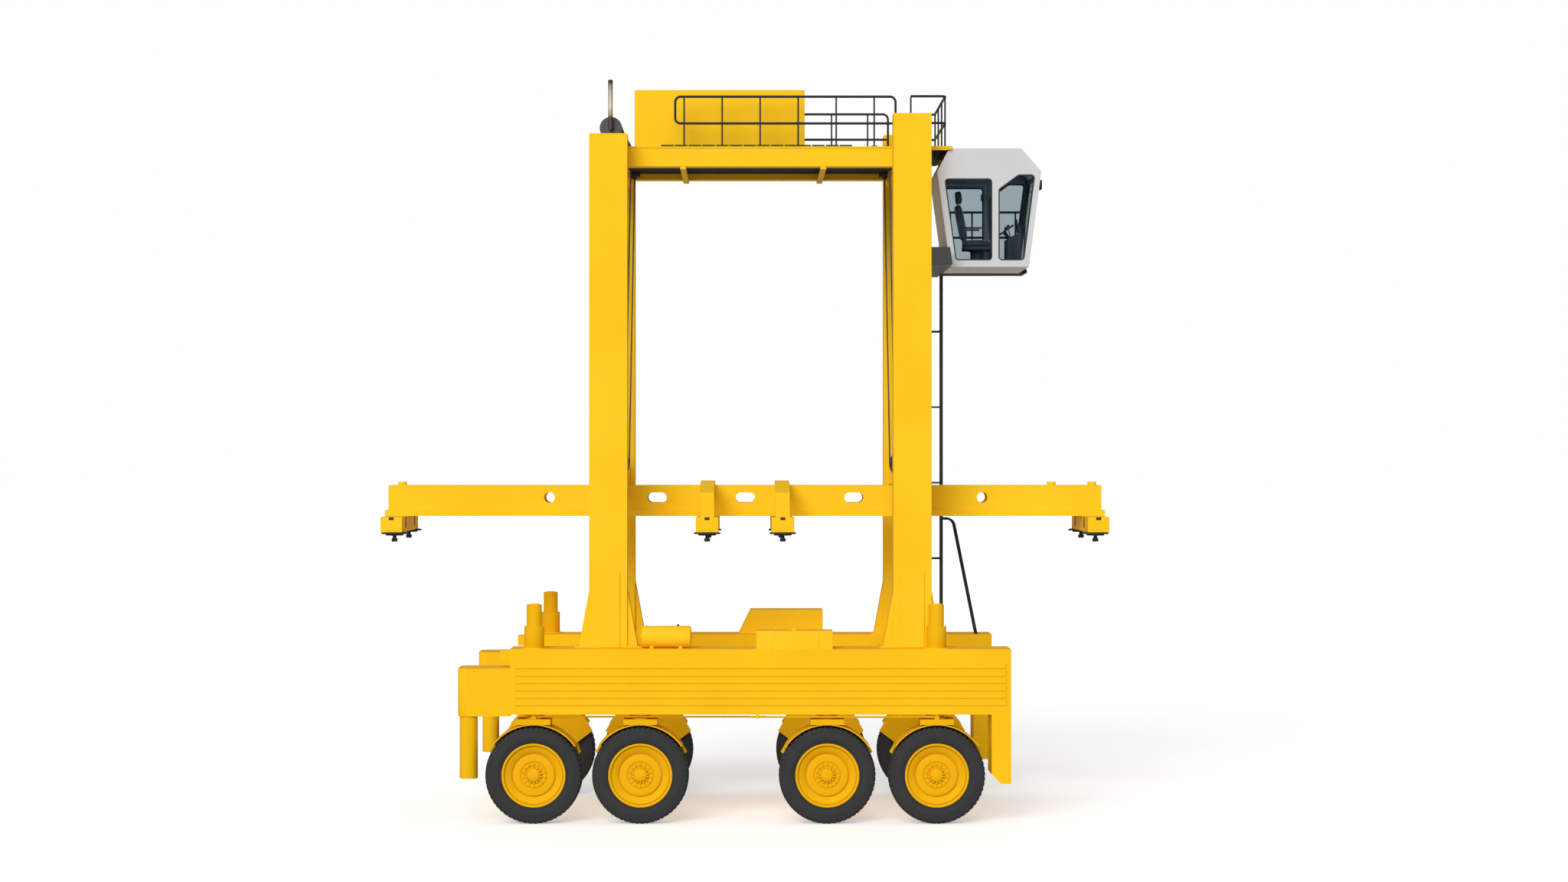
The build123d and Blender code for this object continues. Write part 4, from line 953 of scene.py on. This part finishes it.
def build_seat():
    """Driver's seat: pedestal, padded cushion, back and headrest, armrests."""
    low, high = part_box("cab_seat")
    length, height = high.x - low.x, high.z - low.z
    at = local(low.x, (low.y + high.y) / 2, low.z)
    cushion, arm_y, stem_x, stem_y = 0.42, 0.262, 0.07, 0.06
    base = bmesh.new()
    block(base, at(0.16, -0.2, 0), at(length - 0.15, 0.2, 0.03), 0.006)
    pedestal = ((0.16, 0.03), (0.12, 0.06), (0.1, 0.09), (0.1, 0.22), (0.17, 0.26))
    lathe(base, pedestal, at(0.38, 0, 0), 32, "Z")
    block(base, at(0.15, -0.25, 0.25), at(length - 0.02, 0.25, cushion - 0.11), 0.015)
    for y in (-arm_y, arm_y):
        block(base, at(0.16, y - 0.014, cushion - 0.1), at(0.2, y + 0.014, cushion + 0.2), 0.004)
        block(base, at(0.12, y - 0.016, cushion + 0.19), at(0.46, y + 0.016, cushion + 0.22), 0.01)
    for y in (-stem_y, stem_y):
        tube(base, (at(stem_x, y, height - 0.27), at(stem_x, y, height - 0.12)), 0.008)
    made = [add("seat_frame", base, "console_plastic", 35)]
    seams = (-0.5, 0.0, 0.5)
    # name, centre, size, lean in degrees, crown, places of the sewn channels
    for row in (
        ("seat_cushion", at(0.4, 0, cushion - 0.055), (0.5, 0.5, 0.11), 0, 0.018, seams),
        ("seat_back", at(0.115, 0, cushion + 0.31), (0.62, 0.48, 0.11), 79, 0.02, seams),
        ("seat_headrest", at(0.075, 0, height - 0.115), (0.22, 0.27, 0.1), 85, 0.012),
    ):
        made.append(pad(*row))
    for piece in made:
        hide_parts("cab_seat")


def build_controls():
    """Steering column and wheel, a screen, two levers and two pedals at the console."""
    low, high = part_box("cab_console")
    length, middle = high.x - low.x, (low.y + high.y) / 2
    at = local(low.x, middle, high.z)
    on_floor = local(low.x, middle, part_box("cab_floor")[1].z)
    wheel_lean = Matrix.Rotation(math.radians(-35), 4, "Y")
    wheel_radius, spoke_reach, lever_y, pedal_y, screen_y = 0.19, 0.18, 0.26, 0.12, -0.2
    dark = bmesh.new()
    lean = Matrix.Translation(at(-0.03, 0, 0.02)) @ wheel_lean
    ring = [lean @ Vector((x, y, 0)) for x, y in around(wheel_radius, 40)]
    tube(dark, ring + ring[:1], 0.015)
    for x, y in around(spoke_reach, 3, offset=0.75):
        tube(dark, (lean @ Vector((0, 0, -0.01)), lean @ Vector((x, y, 0))), 0.011, 8)
    tube(dark, (lean @ Vector((0, 0, 0.012)), lean @ Vector((0, 0, -0.26))), 0.032, 14)
    screen_lean = Matrix.Rotation(math.radians(-12), 4, "Y")
    screen_turn = Matrix.Translation(at(length - 0.07, screen_y, 0.12)) @ screen_lean
    block(dark, (-0.015, -0.13, -0.09), (0.015, 0.13, 0.09), 0.006, screen_turn)
    tube(dark, (at(length - 0.06, screen_y, -0.02), at(length - 0.07, screen_y, 0.06)), 0.014)
    knob = ((0.008, 0.05), (0.022, 0.065), (0.026, 0.09), (0.018, 0.115), (0.006, 0.122))
    for y in (-lever_y, lever_y):
        tube(dark, (at(0.06, y, -0.1), at(0.02, y, 0.06)), 0.009)
        lathe(dark, knob, at(0.02, y, 0), 16, "Z")
    for y in (-pedal_y, pedal_y):
        turn = Matrix.Translation(on_floor(-0.05, y, 0.07)) @ wheel_lean
        block(dark, (-0.1, -0.045, -0.008), (0.1, 0.045, 0.008), 0.004, turn)
        tube(dark, (on_floor(-0.01, y, 0), on_floor(-0.03, y, 0.08)), 0.012)
    add("cab_controls", dark, "console_plastic", 40)


def build_cab_trim():
    """Mirrors and wiper at the cab's front, and the door handle."""
    mirror_z, mirror_reach, bracket_half, handle_z, handle_inset = 10.71, 0.085, 0.05, 10.0, 0.075
    face = cab_front(mirror_z) + mirror_reach
    dark = bmesh.new()
    for y in (-0.55, 0.3):
        at = local(face, y, mirror_z)
        block(dark, at(-0.02, -0.09, -0.085), at(0.025, 0.09, 0.085), 0.016)
        for z in (mirror_z - bracket_half, mirror_z + bracket_half):
            tube(dark, ((cab_front(z) - 0.01, y, z), (face - 0.01, y, z)), 0.009)
    # ends of the wiper's pivot, arm and blade, as (distance in front of the cab, Y, Z); radius; sides
    for ends, radius, sides in (
        (((0.004, -0.45, 9.45), (0.03, -0.45, 9.45)), 0.022, 14),
        (((0.026, -0.45, 9.45), (0.022, -0.2, 10.1)), 0.008, 10),
        (((0.014, -0.3, 9.75), (0.014, -0.12, 10.45)), 0.01, 6),
    ):
        tube(dark, [(cab_front(z) + out, y, z) for out, y, z in ends], radius, sides)
    add("cab_trim", dark, "black_paint", 40)
    handle = bmesh.new()
    at = local(cab_rear(handle_z) + handle_inset, CAB_ACROSS[1], handle_z)
    bar = (at(0, -0.01, -0.09), at(0, 0.035, -0.08), at(0, 0.035, 0.08), at(0, -0.01, 0.09))
    tube(handle, bar, 0.009)
    block(handle, at(-0.03, -0.002, -0.14), at(0.03, 0.006, -0.1), 0.003)
    add("door_handle", handle, "black_paint", 40, "cab_door")


def sloping_panel(mesh, low, high, across, outer, inner):
    """A plate along the cab's rear face between two heights, from one depth behind it to another."""
    verts = []
    for z, y, depth in product((low, high), across, (outer, inner)):
        verts.append(mesh.verts.new((cab_rear(z) + depth, y, z)))
    bmesh.ops.convex_hull(mesh, input=verts)


def build_rear_wall():
    """The plain skin outside the cab's rear wall, and the lining inside it."""
    skin, lining = bmesh.new(), bmesh.new()
    skin_inset, skin_rise, lining_inset, lining_drop = 0.002, 0.1, CAB_WALL + 0.01, 0.03
    skin_across = (CAB_ACROSS[0] + skin_inset, CAB_ACROSS[1] - skin_inset)
    lining_across = (CAB_ACROSS[0] + lining_inset, CAB_ACROSS[1] - lining_inset)
    sloping_panel(skin, CAB_FLOOR_Z + skin_rise, CAB_SHOULDER_Z - skin_inset, skin_across, -0.004, 0.001)
    sloping_panel(
        lining, WINDOW_LOW, CAB_SHOULDER_Z - lining_drop, lining_across, CAB_WALL + 0.005, CAB_WALL + 0.015,
    )
    add("rear_wall_skin", skin, "white_paint")
    add("rear_wall_lining", lining, "console_plastic", material=TRIM)


# Sills and spreader
def build_sill_fittings():
    """Tank ends, plugs, straps and cap, bolts, feet and lids of the pots, locker door and handles."""
    yellow, dark = bmesh.new(), bmesh.new()
    low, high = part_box("round_tank")
    radius = (high.y - low.y) / 2
    centre_y, centre_z = (low.y + high.y) / 2, high.z - radius
    # radius, distance outward
    dome = ((radius * 0.985, 0.0), (radius * 0.9, 0.012), (radius * 0.6, 0.02), (0.02, 0.024))
    plug = ((0.022, 0.015), (0.022, 0.04), (0.016, 0.045))
    for end, x in ((-1, low.x), (1, high.x)):
        for profile, segments in ((dome, 48), (plug, 12)):
            outward = [(reach, end * out) for reach, out in profile]
            lathe(yellow, outward, (x, centre_y, centre_z), segments, "X")
    strap_inset, strap_half, cap_inset = 0.07, 0.012, 0.2
    inner, outer = radius + 0.0005, radius + 0.003
    strap = ((inner, -strap_half), (outer, -strap_half), (outer, strap_half), (inner, strap_half))
    for x in (low.x + strap_inset, high.x - strap_inset):
        lathe(yellow, strap, (x, centre_y, centre_z), 64, "X", True)
    cap = ((0.02, -0.01), (0.02, 0.02), (0.014, 0.026))
    lathe(dark, cap, (high.x - cap_inset, centre_y, high.z), 12, "Z")
    low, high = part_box("pivot_pots")
    pot_radius, neck_radius, bolt_rise, bolt_count = 0.165, 0.126, 0.365, 10
    bolt_reach = (pot_radius + neck_radius) / 2
    inner, outer = pot_radius + 0.0005, pot_radius + 0.05
    foot = ((inner, 0.0), (outer, 0.0), (outer, 0.012), (inner, 0.016))
    lid = ((0.09, 0.0), (0.085, 0.012), (0.03, 0.016))
    ends = (low.x + pot_radius, high.x - pot_radius)
    for x, y in product(ends, (low.y + pot_radius, high.y - pot_radius)):
        shoulder = (x, y, low.z + bolt_rise)
        bolt_ring(yellow, shoulder, bolt_reach, bolt_count, "Z", radius=0.011, height=0.012)
        lathe(yellow, foot, (x, y, low.z), 48, "Z", True)
        lathe(yellow, lid, (x, y, high.z), 32, "Z")
    low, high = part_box("locker")
    door_rear, door_margin, grip_drop = 0.26, 0.06, 0.1
    for x in (low.x + 0.55, high.x - 0.3):
        grip(dark, (x, high.y, high.z - grip_drop), (0.06, 0, 0), (0, 0.03, 0), 0.008)
    door_low = (low.x + door_rear, high.y - 0.002, low.z + door_margin)
    block(yellow, door_low, (high.x - door_margin, high.y + 0.008, high.z - door_margin), 0.003)
    low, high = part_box("box_tank")
    band_inset, band_half, band_proud, band_drop = 0.25, 0.025, 0.004, 0.021
    for x in (low.x + band_inset, high.x - band_inset):
        band_high = (x + band_half, high.y + band_proud, high.z - band_drop)
        block(yellow, (x - band_half, low.y - band_proud, low.z), band_high, 0.002)
    add("sill_fittings", yellow, "yellow_paint", 35)
    add("sill_fittings_dark", dark, "black_paint", 35)


def build_lock_details():
    """Dark plates that paint the shade of sight slots on the lock boxes and end beams, and the rubber lock
    pads with their lock heads.
    """
    low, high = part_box("spreader_end_beams")
    lock_low, lock_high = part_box("spreader_twistlocks")
    beam_width, twin_x, side_slot_y, slot_gap, lock_inset, pad_radius = 0.365, 0.64, 0.72, 0.002, 0.17, 0.225
    slot_top = high.z - slot_gap
    dark, pads = bmesh.new(), bmesh.new()
    boxes = (low.x + beam_width / 2, -twin_x, twin_x, high.x - beam_width / 2)
    # dark plates 3 mm proud of the faces stand for the slots' recesses: painted shade
    for x, side in product(boxes, BOTH_SIDES):
        plate(dark, (x, side * high.y, slot_top), half=(0.042, 0.003), height=-0.048, bevel=0.002)
    for x, side in product((low.x + beam_width, high.x - beam_width), BOTH_SIDES):
        plate(dark, (x, side * side_slot_y, slot_top), half=(0.003, 0.07), height=-0.188, bevel=0.002)
    add("lock_slot_shade", dark, "grey_paint", None, "spreader", GRATE_AND_SLOT_SHADE)
    # radius, height from the beam's underside
    profile = (
        (0.05, 0.0), (0.2, 0.0), (0.222, -0.004), (pad_radius, -0.012), (pad_radius, -0.026),
        (0.218, -0.03), (0.152, -0.03), (0.15, -0.034), (0.15, -0.051), (0.146, -0.055), (0.05, -0.055),
    )
    neck_drop, head_drop = 0.05, 0.1
    middles = (lock_low.x + pad_radius, -twin_x, twin_x, lock_high.x - pad_radius)
    for x, side in product(middles, BOTH_SIDES):
        y = side * (high.y - lock_inset)
        lathe(pads, profile, (x, y, low.z), 48, "Z", True)
        plate(pads, (x, y, low.z - neck_drop), half=(0.03, 0.03), height=-0.05, bevel=0.006)
        plate(pads, (x, y, low.z - head_drop), half=(0.05, 0.03), height=-0.06, bevel=0.012)
    locks = add("lock_pads", pads, "lock_rubber", 40, "spreader")
    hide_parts("spreader_twistlocks")


def build_rod_ends():
    """Ball joints, lock nuts and sleeves of the steering rods."""
    rod_radius, eye_half, rod_inset, ball_sink = 0.016, 0.04, 0.02, 0.002
    ball = ((0.012, 0.0), (0.026, 0.004), (0.03, 0.014), (0.026, 0.024), (0.012, 0.028))
    for name in ("a", "b"):
        mesh = bmesh.new()
        low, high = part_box("steering_rods_" + name)
        front_y, rear_y = low.y + rod_inset, high.y - rod_inset
        if abs(low.y) <= abs(high.y):
            front_y, rear_y = rear_y, front_y
        # place of the eye, direction towards the rod, place across
        for eye_x, inward, y in ((high.x - eye_half, -1, front_y), (low.x + eye_half, 1, rear_y)):
            lathe(mesh, ball, (eye_x, y, high.z - ball_sink), 20, "Z")
            # distance from the eye, radius, half length of two nuts and a sleeve
            for reach, radius, half in ((0.075, 0.021, 0.014), (0.11, 0.02, 0.02), (0.6, 0.02, 0.03)):
                edge, flat = radius * 0.8, half * 0.7
                collar = ((edge, -half), (radius, -flat), (radius, flat), (edge, half))
                lathe(mesh, collar, (eye_x + inward * reach, y, high.z - rod_radius), 12, "X")
        # deeper gear yellow: painted shade near the ground
        add("rod_ends_" + name, mesh, "yellow_paint", 35, "rods_" + name, GEAR_SHADE_PAINT)


def soften_edges():
    """Break the sharp edges of the plated pieces with a small rounded edge."""
    for subpart in frame["record"]["subparts"]:
        if subpart["material_slot"] not in ("yellow_paint", "deck_paint", "grey_paint"):
            continue
        node = frame["nodes"][subpart["node"]]
        weld = node.modifiers.new("weld", "WELD")
        weld.merge_threshold = 0.0002
        edge = node.modifiers.new("edge", "BEVEL")
        edge.width = 0.008
        edge.segments = 2
        edge.limit_method = "ANGLE"
        edge.angle_limit = math.radians(50)
        edge.harden_normals = True


# Floor, light and camera
def build_stage():
    """A pale floor, soft light from the front and above, and the camera at the photo's angle."""
    scene = bpy.context.scene
    scene.view_settings.view_transform = "Standard"
    world = bpy.data.worlds.new("soft_white")
    world.use_nodes = True
    tree = world.node_tree
    background = tree.nodes["Background"]
    rays = tree.nodes.new("ShaderNodeLightPath")
    strength = value_range(tree, rays.outputs["Is Camera Ray"], SKY_LIGHT, SKY_SEEN)
    feed(background, {"Color": WHITE, "Strength": strength})
    scene.world = world
    floor_mesh = bmesh.new()
    bmesh.ops.create_grid(floor_mesh, x_segments=4, y_segments=4, size=FLOOR_HALF_SIZE)
    data = bpy.data.meshes.new("floor")
    floor_mesh.to_mesh(data)
    floor_mesh.free()
    floor = bpy.data.objects.new("floor", data)
    scene.collection.objects.link(floor)
    material, tree, shader = new_material("floor_white")
    tone = ramp(tree, noise(tree, scale=0.2), (0.3, FLOOR_SHADE), (0.7, FLOOR_PALE))
    feed(shader, {"Base Color": tone, "Roughness": 0.9})
    feed(shader, {"Emission Color": WHITE, "Emission Strength": FLOOR_GLOW})
    data.materials.append(material)
    floor.visible_diffuse = False
    floor.visible_glossy = False
    sun = bpy.data.lights.new("key", "SUN")
    sun.energy = SUN_STRENGTH
    sun.angle = SUN_SPREAD
    lamp = bpy.data.objects.new("key", sun)
    lamp.rotation_euler = Vector(SUN_DIRECTION).to_track_quat("-Z", "Y").to_euler()
    scene.collection.objects.link(lamp)
    lens = bpy.data.cameras.new("camera")
    lens.lens = CAMERA_LENS
    lens.sensor_width = CAMERA_SENSOR
    lens.shift_x, lens.shift_y = CAMERA_SHIFT
    lens.clip_end = CAMERA_REACH
    camera = bpy.data.objects.new("camera", lens)
    camera.location = CAMERA_PLACE
    camera.rotation_euler = (math.radians(90.0), 0.0, 0.0)
    scene.collection.objects.link(camera)
    scene.camera = camera


build_wheels()
build_kingpins()
build_hoist()
build_gratings()
build_soffit()
build_rail_ends()
build_exhaust_strut()
build_walkway_edge()
build_house()
build_gaskets()
build_seat()
build_controls()
build_cab_trim()
build_rear_wall()
build_sill_fittings()
build_lock_details()
build_rod_ends()
soften_edges()
build_stage()
